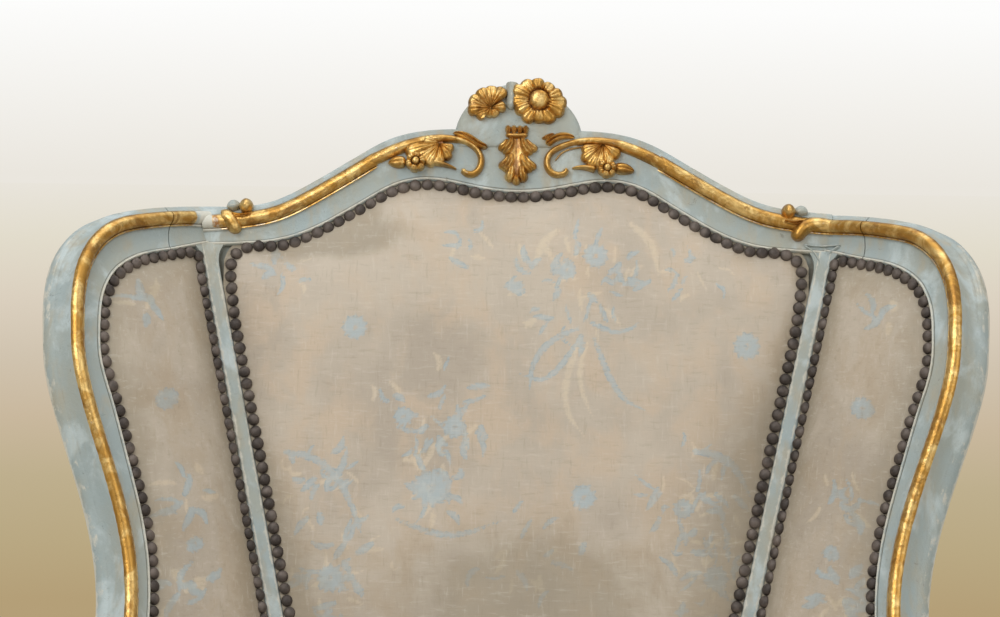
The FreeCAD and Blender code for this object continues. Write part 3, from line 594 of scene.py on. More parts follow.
@dataclass(frozen=True)
class PaintedHide:
    """Old wall-hanging hide: warm grey ground, fine crossed hatching from its
    ageing, brown stains, painted shade and faded flowers in pale blue and cream."""

    ground: str = "BBB0A0"
    shade: str = "A89D8E"
    warm: str = "C0AD96"
    blue: str = "9CB4BF"
    deep_blue: str = "7E98A6"
    cream: str = "D6C7AC"
    stain: str = "8A806C"
    pale: str = "CFC8BC"

    def make(self) -> bpy.types.Material:
        """Build the material. It reads the values blue, cream, stain and hollow."""
        f = Finish("painted_hide")
        blue, cream = f.value("blue"), f.value("cream")
        broad, fleck = f.noise(120, 4, 0.6), f.noise(6, 7, 0.72)
        cloud = f.noise(34, 5, 0.6, (1, 1, 0.7), 0.4)
        weft = f.noise(3.2, 3, 0.7, (0.16, 0.5, 1.0))
        warp = f.noise(3.2, 3, 0.7, (1.0, 0.5, 0.1))
        # ground in soft clouds
        colour = f.mix(f.band(broad, 0.35, 0.68), self.ground, self.shade)
        colour = f.mix(f.band(cloud, 0.42, 0.7) * 0.7, colour, self.warm)
        # flowers: cream, then blue, broken up by the brush, with a darker outline
        ragged = (fleck + warp * 0.6) * 0.9 - 0.72
        brush = f.noise(5, 6, 0.72, (0.6, 1, 1), 1.6)
        for mark, code, share in ((cream, self.cream, 0.6), (blue, self.blue, 0.66)):
            mask = f.band(mark * 0.62 + brush * 0.9, 0.62, 0.92) + ragged * 0.5
            colour = f.mix(f.clamped("MULTIPLY", mask * mark, share), colour, code)
        outline = f.band(blue, 0.35, 0.5) * f.band(blue, 0.8, 0.55)
        colour = f.mix(outline * f.band(brush, 0.46, 0.6) * 0.5, colour, self.deep_blue)
        # brown stains and painted shade, both from the stain value
        stained_and_shaded = f.band(f.value("stain") + (cloud - 0.5) * 0.9, 0.3, 0.8)
        colour = f.mix(stained_and_shaded * 0.6, colour, self.stain)
        # painted shade along the nails and the panel edges
        colour = f.mix(f.band(f.value("hollow"), 0.1, 1.0) * 0.55, colour, self.stain)
        # crossed hatching, pale and dark
        hatch = f.band(weft, 0.55, 0.72) + f.band(warp, 0.57, 0.74)
        colour = f.mix(hatch * 0.22, colour, self.pale)
        dark_hatch = f.band(weft, 0.44, 0.3) + f.band(warp, 0.42, 0.3)
        f.link(f.mix(dark_hatch * 0.2, colour, self.stain), "Base Color")
        f.link(fleck * 0.25 + 0.5, "Roughness")
        f.relief(weft + warp + cloud * 1.5, 0.35, 0.6)
        return f.material


@dataclass(frozen=True)
class BareBeech:
    """Unpainted beech inside the frame: straight grain with short brown flecks."""

    light: str = "B8976B"
    dark: str = "8E6D47"

    def make(self) -> bpy.types.Material:
        """Build the material, its grain along X."""
        f = Finish("unfinished_beech")
        grain, fleck = f.noise(6, 6, 0.65, (0.06, 1, 1)), f.noise(2.5, 2, 0.5, (0.3, 1, 1))
        colour = f.mix(f.band(grain, 0.35, 0.7), self.light, self.dark)
        f.link(f.mix(f.band(fleck, 0.62, 0.75) * 0.6, colour, self.dark), "Base Color")
        f.shader.inputs["Roughness"].default_value = 0.7
        f.relief(grain, 0.4, 0.6)
        return f.material


@dataclass(frozen=True)
class PlainWeave:
    """Coarse cloth whose crossed threads show as raised bars."""

    name: str
    thread_mm: float
    light: str
    dark: str
    bands: float = 1 / 6.28

    def make(self) -> bpy.types.Material:
        """Build the material with threads along X and Z."""
        f = Finish(self.name)
        across, along = (f.add("ShaderNodeTexWave", {
            "Vector": f.place, "Scale": self.bands / (self.thread_mm * MM), "Distortion": 1.2,
            "Detail Scale": 3.0}, "Fac", bands_direction=axis) for axis in ("X", "Z"))
        # pale threads, dark gaps, thicker threads here and there
        height = across + along
        tone = height * 0.35 + f.noise(self.thread_mm * 5, 4, 0.6) * 0.5
        f.link(f.mix(f.band(tone, 0.3, 0.85), self.dark, self.light), "Base Color")
        f.shader.inputs["Roughness"].default_value = 0.85
        f.relief(height, 0.5, 0.9)
        return f.material


@dataclass(frozen=True)
class StudioFloor:
    """Seamless matt paper: pale under the chair, lit warmer and darker far behind it."""

    near: str = "DDD6C8"
    tones: tuple[tuple[float, str], ...] = (
        (0.0, "EAE6DE"), (0.15, "E2DCCC"), (0.29, "DBD0BF"), (0.43, "D0C3AF"), (0.57, "C9B89E"),
        (0.71, "BEAF8E"), (0.86, "B9A883"), (1.0, "B49F78"))
    span_m: float = 7.34
    camera_gap_m: float = 2.29
    close_m: tuple[float, float] = (4.6, 2.2)

    def make(self) -> bpy.types.Material:
        """Build the material. Far from the chair the camera sees the paper's own tone."""
        f = Finish("studio_paper")
        radius = f.add("ShaderNodeVectorMath", {0: f.place}, "Value", operation="LENGTH")
        share = f.clamped("DIVIDE", self.span_m, radius + self.camera_gap_m)
        ramp = node(f.tree, "ShaderNodeValToRGB", {}, {0: share})
        for place, _ in self.tones[1:-1]:
            ramp.color_ramp.elements.new(place)
        for element, (place, code) in zip(ramp.color_ramp.elements, self.tones):
            element.position, element.color = place, linear(code)
        close = f.band(radius, *self.close_m)
        f.link(f.mix(close, Tone(f.tree, ramp.outputs[0]), self.near), "Base Color")
        f.shader.inputs["Roughness"].default_value = 0.9
        glow = f.add("ShaderNodeEmission", {"Color": ramp.outputs[0], "Strength": 1.0})
        seen = f.add("ShaderNodeLightPath", {}, "Is Camera Ray") * (1 - close)
        mixed = f.add("ShaderNodeMixShader", {0: seen, 1: f.shader.outputs[0], 2: glow})
        f.tree.links.new(mixed.socket, f.end.inputs["Surface"])
        return f.material


@dataclass
class Finishes:
    """Every finish of the chair, built once."""

    frame: bpy.types.Material = field(default_factory=lambda: PaintedGiltWood().make())
    nail: bpy.types.Material = field(default_factory=lambda: NailBronze().make())
    hide: bpy.types.Material = field(default_factory=lambda: PaintedHide().make())
    beech: bpy.types.Material = field(default_factory=lambda: BareBeech().make())
    webbing: bpy.types.Material = field(
        default_factory=lambda: PlainWeave("jute_webbing", 1.6, "B49B70", "846A45").make())
    hessian: bpy.types.Material = field(
        default_factory=lambda: PlainWeave("hessian", 1.2, "C0A679", "8D7249").make())

    def wood(self, name: str, shell: Shell, *replaces: str, crease: float = 38.0) -> None:
        """Make a piece of the painted frame."""
        make_piece(name, shell, self.frame, Slot.FRAME, replaces=replaces, crease=crease)

    def leather(self, name: str, slot: Slot, shell: Shell, *replaces: str,
                crease: float = 38.0) -> bpy.types.Object:
        """Make a piece of hide."""
        return make_piece(name, shell, self.hide, slot, replaces=replaces, crease=crease)


@dataclass
class Studio:
    """Pale floor, soft lamps and the camera of the photograph."""

    camera_place: tuple[float, float, float] = (-0.0132, -2.2857, 1.0)
    pitch_deg: float = 2.40
    roll_deg: float = 0.8
    lens_mm: float = 111.0
    film_mm: float = 36.0
    world_light: float = 0.42
    horizon_blend: float = 0.055

    def build(self) -> None:
        """Make floor, world, lamps and camera."""
        bpy.ops.mesh.primitive_plane_add(size=600, location=(0, 0, 0))
        floor = bpy.context.object
        floor.name = "studio_floor"
        floor.data.materials.append(StudioFloor().make())
        self.world()
        self.lamp("key", (-1.5, -2.2, 2.6), (0.0, 0.1, 0.75), 2.0, 62)
        self.lamp("fill", (2.2, -2.0, 1.7), (0.0, 0.1, 0.75), 2.2, 26)
        self.lamp("top", (0.2, 0.3, 3.0), (0.0, 0.1, 0.8), 2.4, 30)
        self.camera()

    def world(self) -> None:
        """Dim even light; to the camera a pale sheet that warms downwards."""
        world = bpy.data.worlds.new("studio_world")
        world.use_nodes = True
        tree = world.node_tree
        tree.nodes.clear()
        add = partial(output, tree)
        height = add("ShaderNodeSeparateXYZ", {0: add("ShaderNodeTexCoord", {}, "Generated")}, "Z")
        ramp = node(tree, "ShaderNodeValToRGB", {}, {0: add(
            "ShaderNodeMapRange", {0: height, 1: 0.0, 2: self.horizon_blend})})
        low, high = ramp.color_ramp.elements
        low.color, high.color = linear("EAE6DE"), linear("FDFDFC")
        seen = add("ShaderNodeBackground", {"Color": ramp.outputs[0], "Strength": 1.0})
        light = add("ShaderNodeBackground", {"Color": linear("F4F3F0"), "Strength": self.world_light})
        path = node(tree, "ShaderNodeLightPath").outputs
        direct = add("ShaderNodeMath", {0: path["Is Camera Ray"], 1: path["Is Transmission Ray"]},
                     operation="MAXIMUM")
        mix = add("ShaderNodeMixShader", {0: direct, 1: light, 2: seen})
        node(tree, "ShaderNodeOutputWorld", {}, {"Surface": mix})
        bpy.context.scene.world = world
        bpy.context.scene.view_settings.view_transform = "Standard"

    def lamp(self, name: str, place: tuple[float, float, float], aim: tuple[float, float, float],
             size: float, watts: float) -> None:
        """Add one soft square lamp.

        Args:
            name: Lamp name.
            place: Where it stands, in metres.
            aim: Point that it faces.
            size: Edge length.
            watts: Power.
        """
        data = bpy.data.lights.new(name, "AREA")
        data.size, data.energy = size, watts
        lamp = bpy.data.objects.new(name, data)
        lamp.location = place
        lamp.rotation_euler = (Vector(aim) - Vector(place)).to_track_quat("-Z", "Y").to_euler()
        bpy.context.scene.collection.objects.link(lamp)

    def camera(self) -> None:
        """Camera at the photograph's place, pitch, roll and lens."""
        data = bpy.data.cameras.new("camera")
        data.lens, data.sensor_width = self.lens_mm, self.film_mm
        camera = bpy.data.objects.new("camera", data)
        camera.location = self.camera_place
        camera.rotation_mode = "QUATERNION"
        tilt = Quaternion((1, 0, 0), math.radians(90 - self.pitch_deg))
        camera.rotation_quaternion = tilt @ Quaternion((0, 0, 1), math.radians(self.roll_deg))
        bpy.context.scene.collection.objects.link(camera)
        bpy.context.scene.camera = camera


CREST_STATIONS = [
    (0, 984.8, 0, 1043.0), (30, 987.4, 32, 1043.0), (56, 992.6, 60, 1043.0), (78, 994.5, 84, 1040.7),
    (100, 990.2, 108, 1034.2), (124, 977.4, 136, 1019.4), (150, 962.0, 161, 1004.6),
    (174, 949.8, 184, 991.8), (200, 941.6, 207, 981.8), (230, 938.5, 236, 976.2), (262, 937.0, 266, 974.0)]
WING_STATIONS = [
    (236, 940, 240, 964, 12, 4), (260, 938.5, 263, 964, 12, 4), (284, 934, 286, 964, 11.5, 4),
    (301, 931, 308, 962, 11.5, 8), (314, 926, 328, 957, 11, 15), (323, 919, 340, 947, 11, 23),
    (329, 908, 349, 929, 10.5, 28), (332, 882, 352, 884, 9, 28), (330, 855, 349.5, 856, 9, 28),
    (321, 823, 342, 824, 9, 28), (307, 775, 327, 777, 9, 28), (294, 727, 312.5, 729, 9, 28),
    (287, 688, 304.5, 690, 9, 28), (285, 658, 302, 660, 9, 28), (286, 625, 303, 627, 9, 28),
    (288, 596, 305, 598, 9, 28)]
WING_JOINT_X = 262


def beaded_profile(width: Array, rim_out: Array, rim_cut: Array, depth: float,
                   bead: float = 5.8) -> tuple[Array, Array, dict[str, Array]]:
    """Moulded section from the rebate over land, cove and gilt bead to the rim.

    Args:
        width: Nail line to bead centre at each station.
        rim_out: How far the rim stands beyond the bead.
        rim_cut: How far the rim's front edge is cut back.
        depth: Thickness of the timber.
        bead: Half width of the bead.

    Returns:
        Offsets across and out at each station, and the surface values.
    """
    corners: list[tuple[Array | float, Array | float, float]] = [
        (a, b, 0.0) for a, b in ((-14, -depth), (-14, -6), (3.2, -6), (3.6, -1.5), (4.4, 0.1),
                                 (5.4, 0.9), (6.4, 0.5), (7.0, -0.6))]
    cove = np.clip((width - 20) / 14, 0.15, 1)
    for share in np.linspace(0.06, 0.94, 7):
        corners.append((7.0 + (width - bead - 9.2) * share,
                        -0.6 + 0.4 * share - 1.5 * math.sin(math.pi * share) * cove, 0.0))
    corners += [(width - bead + offset, rise, gold) for offset, rise, gold in (
        (-2.0, 0.3, 0.35), (-1.4, 1.3, 0.8), (-0.5, 1.2, 0.9), (-0.1, 0.0, 0.9))]
    corners += [(width + bead * math.cos(a), 0.4 + 5.4 * math.sin(a), 1.0)
                for a in np.radians(np.linspace(172, 8, 11))]
    # past the bead the section turns from a flat rim into a deep one
    turn, reach = np.clip(rim_cut / 28, 0, 1), rim_out - bead
    flat = [(0.05, -0.6), (0.25, -0.3), (0.5, -0.6), (0.75, -1.2), (0.92, -2.4), (1.0, -4.2)]
    deep = [(0.05, -1.2), (-0.05, -7.0), (0.1, -13.5), (0.45, -19.0), (0.72, -20.6), (0.8, -22.0)]
    corners += [(width + bead + reach * (fa * (1 - turn) + da * turn), fb * (1 - turn) + db * turn, 0.0)
                for (fa, fb), (da, db) in zip(flat, deep)]
    corners += [(width + rim_out - 0.2 * turn, -6.5 * (1 - turn) - 23.0 * turn, 0.0),
                (width + rim_out, 5 - depth, 0.0), (width + rim_out - 1.5, -depth, 0.0)]
    across, out, gilt = (np.stack([np.broadcast_to(c, width.shape) for c in column], 1)
                         for column in zip(*corners))
    section = np.stack([across, out], -1)
    before = unit(section - np.roll(section, 1, axis=1) + 1e-9)
    after = unit(np.roll(section, -1, axis=1) - section + 1e-9)
    bend = before[..., 0] * after[..., 1] - before[..., 1] * after[..., 0]
    return across, out, {"gilt": gilt, "edge": np.clip(-bend, 0, 1),
                         "hollow": np.clip(bend * 1.6, 0, 1)}


def across_normal(nails: Array, beads: Array, across: Array, out: Array, normal: Array) -> Array:
    """Sections in the planes spanned by nail-to-bead and a front normal."""
    side = unit(beads - nails)
    return nails[:, None] + side[:, None] * across[..., None] + normal * out[..., None]


@dataclass
class CrestRail:
    """Serpentine crest rail: beaded moulding over the back."""

    finishes: Finishes
    depth: float = 38.0
    bead_inset: float = 12.0
    scroll_start: float = 126.0
    lean: float = 1.8
    count: int = 220
    rim_cut: float = 3.0

    def build(self) -> None:
        """Sweep the moulding from one mitre to the other."""
        stations = [(-a, b, -c, d) for a, b, c, d in reversed(CREST_STATIONS[1:])] + CREST_STATIONS
        rows = smooth_line(stations, self.count, 4)
        x = rows[:, 2]
        rows[:, 3] += self.lean * np.sign(x) * np.clip((np.abs(x) - 110) / 90, 0, 1)
        nails, tops = back_point(rows[:, 0], rows[:, 1]), back_point(x, rows[:, 3])
        beads = tops - unit(tops - nails) * self.bead_inset
        width = np.linalg.norm(beads - nails, axis=1)
        rim = np.full(self.count, self.bead_inset)
        across, out, values = beaded_profile(width, rim, np.full(self.count, self.rim_cut), self.depth)
        sections = across_normal(nails, beads, across, out, BACK_NORMAL)
        # the gilt bead breaks off over the middle, where the scrolls take over
        middle = np.clip((self.scroll_start - np.abs(x)) / 8, 0, 1)[:, None]
        for name in values:
            values[name] = values[name] * (1 - middle * (across > 12))
        carved = (out > -4) & (across > 12)
        sections = sections - BACK_NORMAL * (np.where(carved, out + 0.5, 0) * middle)[..., None]
        # worn bare over the left mitre, with one spot of gold left
        wear = np.exp(-((x + WING_JOINT_X) / 11) ** 4)[:, None] * (out > 0)
        spot = np.exp(-((x + 254.5) / 3.2) ** 2)[:, None] * (out > 2)
        values["gilt"] = values["gilt"] * (1 - wear) + spot
        values["hollow"] = np.clip(values["hollow"] + spot, 0, 1)
        values["edge"] = np.clip(values["edge"] + wear * 0.7, 0, 1)
        self.finishes.wood("crest_moulding", loft(sections, values), "crest_rail")


@dataclass
class WingFrame:
    """Top rail and upright of one wing as one carved sweep down to the arm."""

    finishes: Finishes
    side: Side
    depth: float = 34.0
    count: int = 210
    joint_x: float = 286.0
    closing: float = 0.7

    def build(self) -> None:
        """Sweep the moulding and open the joint between rail and upright."""
        rows = smooth_line(WING_STATIONS, self.count, 4)
        nails, beads = wing_point(rows[:, 0], rows[:, 1]), wing_point(rows[:, 2], rows[:, 3])
        width = np.linalg.norm(beads - nails, axis=1)
        across, out, values = beaded_profile(width, rows[:, 4], rows[:, 5], self.depth)
        sections = across_normal(nails, beads, across, out, WING_NORMAL)
        joint = int(np.searchsorted(rows[:60, 0], self.joint_x))
        if self.side is Side.LEFT:
            bared = np.exp(-((rows[:, 2] - WING_JOINT_X) / 11) ** 4)[:, None] * (out > 0)
            values["gilt"] = values["gilt"] * (1 - bared)
            values["edge"] = np.clip(values["edge"] + bared * 0.7, 0, 1)
        sections[joint - 1] += self.closing * (sections[joint] - sections[joint - 1])
        for name, node_name, part in (("wing_top_moulding", "wing_top_rail", slice(0, joint)),
                                      ("wing_upright_moulding", "wing_upright", slice(joint, self.count))):
            shell = loft(sections[part], {key: value[part] for key, value in values.items()})
            self.finishes.wood(f"{name}_{self.side.tag}", shell.mirrored(self.side),
                               f"{node_name}_{self.side.tag}")


@dataclass
class Stile:
    """Back post and rear leg: a soft painted rib between the two nail rows."""

    finishes: Finishes
    side: Side

    def build(self) -> None:
        """Loft the post and the splayed leg."""
        z = np.linspace(330, 943, 90)
        ahead = vec(math.cos(TURN), -math.sin(TURN), 0)
        behind = vec(math.sin(TURN), math.cos(TURN), 0)
        centre = np.stack([stile_x(z), back_y(z), z], 1)
        depth, turn = 38.0 / math.cos(RAKE), math.cos(TURN / 2)
        # across the back's plane, along the wing's plane, back from the face
        corners = [(-26, 0, depth), (-26, 0, 6.1), (-7.2, 0, 6.1), (-7.0, 0, 1.6), (-6.0, 0, -0.2),
                   (-4.2, 0, -1.2), (-1.5, 0, -1.9), (0, 1.6, -1.9), (0, 4.2, -1.2), (0, 6.0, -0.2),
                   (0, 7.0, 1.6), (0, 7.2, 6.0), (0, 26, 6.0), (0, 26, 17), (26, 0, depth)]
        sections = np.empty((len(z), len(corners), 3))
        for i, (x, along, back) in enumerate(corners):
            toward = behind if along and back > -3 else vec(0, 1, 0)
            sections[:, i] = centre + vec(x, 0, 0) + ahead * along + toward * back * (1 if back > 3 else turn)
        hollow = np.array([0, 0, 1, .7, 0, 0, 0, 0, 0, 0, .7, 1, 0, 0, 0])
        edge = np.array([0, 0, 0, 0, .8, .3, 0, 0, .3, .8, 0, 0, 0, 0, 0])
        post = loft(sections, {"hollow": hollow, "edge": edge, "gilt": hollow * 0})
        # leg below the seat: height, centre and half widths
        rows = smooth_line([(346, 178, 208, 25, 17), (300, 178, 206, 26, 21), (250, 178, 207, 26, 22),
                            (180, 180, 214, 22, 20), (110, 183, 227, 19, 18), (50, 186, 243, 17, 17),
                            (0, 188, 257, 16, 17)], 50)
        height, x, y, wide, deep = (column[:, None] for column in rows.T)
        angles = np.radians(np.arange(0, 360, 15))
        bulge = 0.86 + 0.2 * np.abs(np.sin(2 * angles)) ** 1.5
        leg = np.stack([x + wide * np.cos(angles) * bulge, y + deep * np.sin(angles) * bulge,
                        height + 0 * angles], -1)
        worn = np.clip(1 - height / 40, 0, 1) + 0 * angles
        foot = loft(leg, {"edge": worn, "gilt": worn * 0, "hollow": worn * 0.3})
        self.finishes.wood(f"stile_and_rear_leg_{self.side.tag}",
                           Shell.joined([post, foot]).mirrored(self.side), f"back_stile_{self.side.tag}")


def flower_marks(x: Array, z: Array, spots: Sequence[tuple[float, float, float, float]],
                 petals: int = 11) -> tuple[Array, Array]:
    """Blue blossoms with cream middles as surface values.

    Args:
        x: Sideways places of the grid.
        z: Heights of the grid.
        spots: Centre x, centre z, radius and turn of each blossom.
        petals: Petals of a blossom.

    Returns:
        The blue and the cream values.
    """
    blue, cream = np.zeros_like(x), np.zeros_like(x)
    for cx, cz, radius, turn in spots:
        r, angle = np.hypot(x - cx, z - cz), np.arctan2(z - cz, x - cx)
        edge = radius * (1.0 + 0.12 * np.cos(petals * (angle + turn)))
        blue = np.maximum(blue, np.clip(2.2 * (1 - r / edge), 0, 0.9))
        cream = np.maximum(cream, np.clip(1.5 * (1 - r / (radius * 0.2)), 0, 0.4))
    return blue * (1 - cream), cream


def stroke_marks(x: Array, z: Array, strokes: Sequence[tuple[Sequence[tuple[float, float]], float]]) -> Array:
    """Brush strokes along smooth lines as a surface value.

    Args:
        x: Sideways places of the grid.
        z: Heights of the grid.
        strokes: Points and half width of each stroke.

    Returns:
        1 in the middle of a stroke, 0 outside.
    """
    mark = np.zeros_like(x)
    for points, half in strokes:
        line = smooth_line(points, 8 * len(points), 2)
        near = np.full(x.shape, 1e9)
        for share, (px, pz) in zip(np.linspace(0, 1, len(line)), line):
            taper = 0.35 + 0.65 * math.sin(math.pi * min(0.12 + 0.88 * share, 1.0))
            near = np.minimum(near, ((x - px) ** 2 + (z - pz) ** 2) / taper ** 2)
        mark = np.maximum(mark, np.clip(1.6 * (1 - np.sqrt(near) / (half * 1.4)), 0, 1))
    return mark


def sprigs(places: Sequence[tuple[float, float, float, int]], seed: int) -> tuple[list, list]:
    """Loose bouquets of short curved dabs, most of them blue and some cream.

    Args:
        places: Centre x, centre z, spread and number of dabs of each bouquet.
        seed: Seed of the random draws.

    Returns:
        Blue strokes and cream strokes.
    """
    draw = np.random.default_rng(seed)
    blue, cream = [], []
    for cx, cz, spread, count in places:
        for index in range(count):
            turn, reach = draw.uniform(0, math.tau), spread * draw.uniform(0.05, 1.0) ** 0.7
            x, z = cx + reach * math.cos(turn), cz + reach * math.sin(turn) * 0.9
            heading, length, bend = turn + draw.normal(0, 0.6), draw.uniform(8, 20), draw.normal(0, 3.5)
            dx, dz = math.cos(heading) * length / 2, math.sin(heading) * length / 2
            dab = [(x - dx, z - dz), (x - dz / length * bend, z + dx / length * bend), (x + dx, z + dz)]
            (cream if index % 3 == 0 else blue).append((dab, draw.uniform(1.7, 3.8)))
    return blue, cream


def swelling(inside: Sequence[Array], roll: float) -> Array:
    """Share of a pad's full height, from the distances to its edges.

    Args:
        inside: Distances to each edge, 0 outside.
        roll: Distance in which the pad rises most of its height.

    Returns:
        0 at the edges, near 1 in the middle.
    """
    return np.prod([1 - np.exp(-(d / roll) ** 1.1) for d in inside], axis=0)


@dataclass
class BackPanel:
    """Crowned centre panel of the back in painted hide."""

    finishes: Finishes
    edge: float = 5.5
    crown: float = 15.0
    roll: float = 26.0
    bottom: float = 350.0
    columns: int = 221
    rows: int = 290

    BLOSSOMS = [(-134, 873, 13, 0.2), (193, 862, 14, 0.5), (58, 736, 13, 0.1), (-68, 742, 19, 0.3),
                (66, 935, 13, 0.2), (42, 922, 10, 0.9), (-92, 800, 10, 0.8), (-50, 792, 12, 0.1),
                (168, 672, 13, 0.6), (140, 728, 10, 0.2), (-150, 668, 14, 0.2), (-20, 560, 14, 0.4),
                (90, 480, 12, 0.1)]
    RIBBONS = [([(52, 874), (34, 866), (16, 846), (12, 824)], 3.4),
               ([(54, 868), (40, 846), (22, 832), (4, 836)], 3.0),
               ([(66, 866), (78, 836), (92, 816), (108, 808)], 3.4),
               ([(62, 880), (88, 872), (104, 880)], 2.8),
               ([(-190, 770), (-164, 764), (-140, 740), (-126, 706)], 4.4),
               ([(150, 775), (176, 768), (196, 740)], 4.4),
               ([(-96, 716), (-52, 704), (-10, 716)], 3.4), ([(-30, 600), (-50, 560), (-44, 510)], 4.0)]
    PALE_RIBBONS = [([(54, 866), (44, 836), (44, 806), (58, 786)], 4.2),
                    ([(60, 862), (54, 836), (66, 800)], 3.4),
                    ([(96, 962), (112, 946), (118, 924)], 5.0), ([(34, 956), (22, 944), (16, 926)], 5.0)]
    BOUQUETS = [(50, 912, 58, 62), (-72, 800, 52, 40), (-70, 738, 34, 22), (-158, 742, 40, 22),
                (-150, 670, 55, 44), (150, 742, 48, 34), (170, 672, 44, 40), (-43, 945, 24, 9),
                (147, 922, 30, 12), (-203, 920, 30, 12), (10, 690, 50, 16), (-30, 560, 70, 44),
                (100, 500, 60, 34), (-110, 450, 60, 30)]
    HALF_TOP = 240.0

    def half_width(self, z: Array) -> Array:
        """Nail line's distance from the middle at each height."""
        return np.minimum(stile_x(z) - NAIL_INSET, self.HALF_TOP + 0.2)

    def outline(self, grow: float) -> tuple[Array, Array]:
        """Grid of x and z inside the nail line grown by a margin."""
        crest = [(a, b) for a, b, _, _ in CREST_STATIONS[:-1]] + [(236.5, 932.5), (self.HALF_TOP, 924)]
        arch = smooth_line(crest, 400, 2)
        u = np.linspace(-1, 1, self.columns)
        top = np.interp(np.abs(u) * (self.HALF_TOP + grow), arch[:, 0] * (1 + grow / self.HALF_TOP),
                        arch[:, 1]) + grow
        low = self.bottom - grow
        z = low + np.linspace(0, 1, self.rows)[:, None] * (top - low)
        return u * (self.half_width(z) + grow), z

    def build(self) -> None:
        """Crown the hide, pinch it at the nails and lay out the faded flowers."""
        x, z = self.outline(self.edge)
        inside = [d.clip(0) for d in (self.half_width(z) - np.abs(x), z[-1] - self.edge - z, z - self.bottom)]
        swell = swelling(inside, self.roll)
        pinch = sum(0.9 * np.cos(2 * math.pi * along / PITCH) * np.exp(-d / 5) * (d > 0)
                    for along, d in zip((z, x), inside))
        ripple = 0.6 * np.sin(x / 23 + z / 90) * np.sin(z / 61) * swell
        front = back_point(x, z, -2.0 + self.crown * swell - pinch * 0.6 + ripple)
        blue, cream = flower_marks(x, z, self.BLOSSOMS)
        blue_dabs, cream_dabs = sprigs(self.BOUQUETS, 7)
        ribbons = stroke_marks(x, z, self.RIBBONS + blue_dabs)
        leaves = stroke_marks(x, z, self.PALE_RIBBONS + cream_dabs)
        near = np.minimum.reduce(inside)
        # water stain under the crest, wear where one leans; painted shade along the nails, beside the right
        # stile and darker towards the bottom
        stain = (np.exp(-((x + 150) / 60) ** 2 - ((z - 950) / 22) ** 2) + 0.7 * np.exp(-near / 16)
                 + 0.4 * np.exp(-((x - 190) / 45) ** 2 - ((z - 740) / 150) ** 2)
                 + 0.45 * np.clip((830 - z) / 160, 0, 1)
                 + 0.8 * np.exp(-((x - 15) / 70) ** 2 - ((z - 650) / 45) ** 2))
        values = {"blue": np.maximum(blue, ribbons * 0.75), "cream": np.maximum(cream, leaves * 0.7),
                  "stain": stain, "hollow": np.exp(-near / 4.5)}
        piece = self.finishes.leather("back_hide_pad", Slot.HIDE, backed(front, BACK_NORMAL * -1.4, values),
                                      "back_inner_cover", "back_stuffing")


@dataclass
class WingPanel:
    """Crowned hide panel of one wing."""

    finishes: Finishes
    side: Side
    edge: float = 5.5
    crown: float = 10.0
    roll: float = 17.0
    foot: float = 598.5
    columns: int = 60
    rows: int = 150

    def grid(self, grow: float) -> tuple[Array, Array, Array, Array]:
        """Grid inside the nail lines: x, z, inner x and outer x."""
        line = smooth_line([(a, b) for a, b, *_ in WING_STATIONS[1:]], 500, 2)
        widest = int(np.argmax(line[:, 0]))
        head, tail = line[:widest], line[widest:]
        shrink = math.cos(TURN)
        peak = head[-1, 0] + grow * shrink
        inner_top = STILE_FOOT_X + STILE_SLOPE * 930 + (NAIL_INSET - grow) * shrink
        u = np.linspace(0, 1, self.columns)
        top = np.interp(inner_top + u * (peak - inner_top),
                        np.r_[inner_top, inner_top + 7, head[:, 0] + grow * shrink * 0.6],
                        np.r_[928, 936, head[:, 1]]) + grow
        low = self.foot - grow
        z = low + np.linspace(0, 1, self.rows)[:, None] * (top - low)
        inner = STILE_FOOT_X + STILE_SLOPE * z + (NAIL_INSET - grow) * shrink
        outer = np.interp(z, tail[::-1, 1], tail[::-1, 0]) + grow * shrink
        return inner + u * (outer - inner), z, inner, outer

    def build(self) -> None:
        """Crown the hide and pinch it at the nails."""
        x, z, inner, outer = self.grid(self.edge)
        shrink = math.cos(TURN)
        inside = [d.clip(0) for d in ((x - inner) / shrink - self.edge, (outer - x) / shrink - self.edge,
                                      z[-1] - z - self.edge, z - self.foot)]
        pinch = sum(np.cos(2 * math.pi * z / PITCH) * np.exp(-d / 4) * (d > 0) for d in inside[:2])
        front = wing_point(x, z, -2.0 + self.crown * swelling(inside, self.roll) - 0.5 * pinch)
        near = np.minimum.reduce(inside)
        blue, cream = flower_marks(x, z, [(288, 816, 11, 0.3), (262, 700, 8, 0.2)])
        blue_dabs, cream_dabs = sprigs([(302, 892, 20, 8), (268, 740, 24, 12), (272, 670, 28, 22)],
                                       11 if self.side is Side.RIGHT else 12)
        # painted shade: darker along the nails and edges, and the whole wing darker than the back
        values = {"blue": np.maximum(blue, stroke_marks(x, z, blue_dabs) * 0.9),
                  "cream": np.maximum(cream, stroke_marks(x, z, cream_dabs) * 0.8),
                  "stain": 0.75 * np.exp(-near / 14) + 0.42, "hollow": np.exp(-near / 4.5)}
        tag = self.side.tag
        shell = backed(front, WING_NORMAL * -1.4, values).mirrored(self.side)
        piece = self.finishes.leather(f"wing_hide_pad_{tag}", Slot.HIDE, shell,
                                      f"wing_inner_cover_{tag}", f"wing_stuffing_{tag}")


def folded_point(x: Array, z: Array, out: Array = 0.0) -> Array:
    """Points on the back plane, or past the stile's centre line on the wing plane."""
    far = (np.asarray(x, float) > stile_x(z))[..., None]
    return np.where(far, wing_point(x, z, out), back_point(x, z, out))


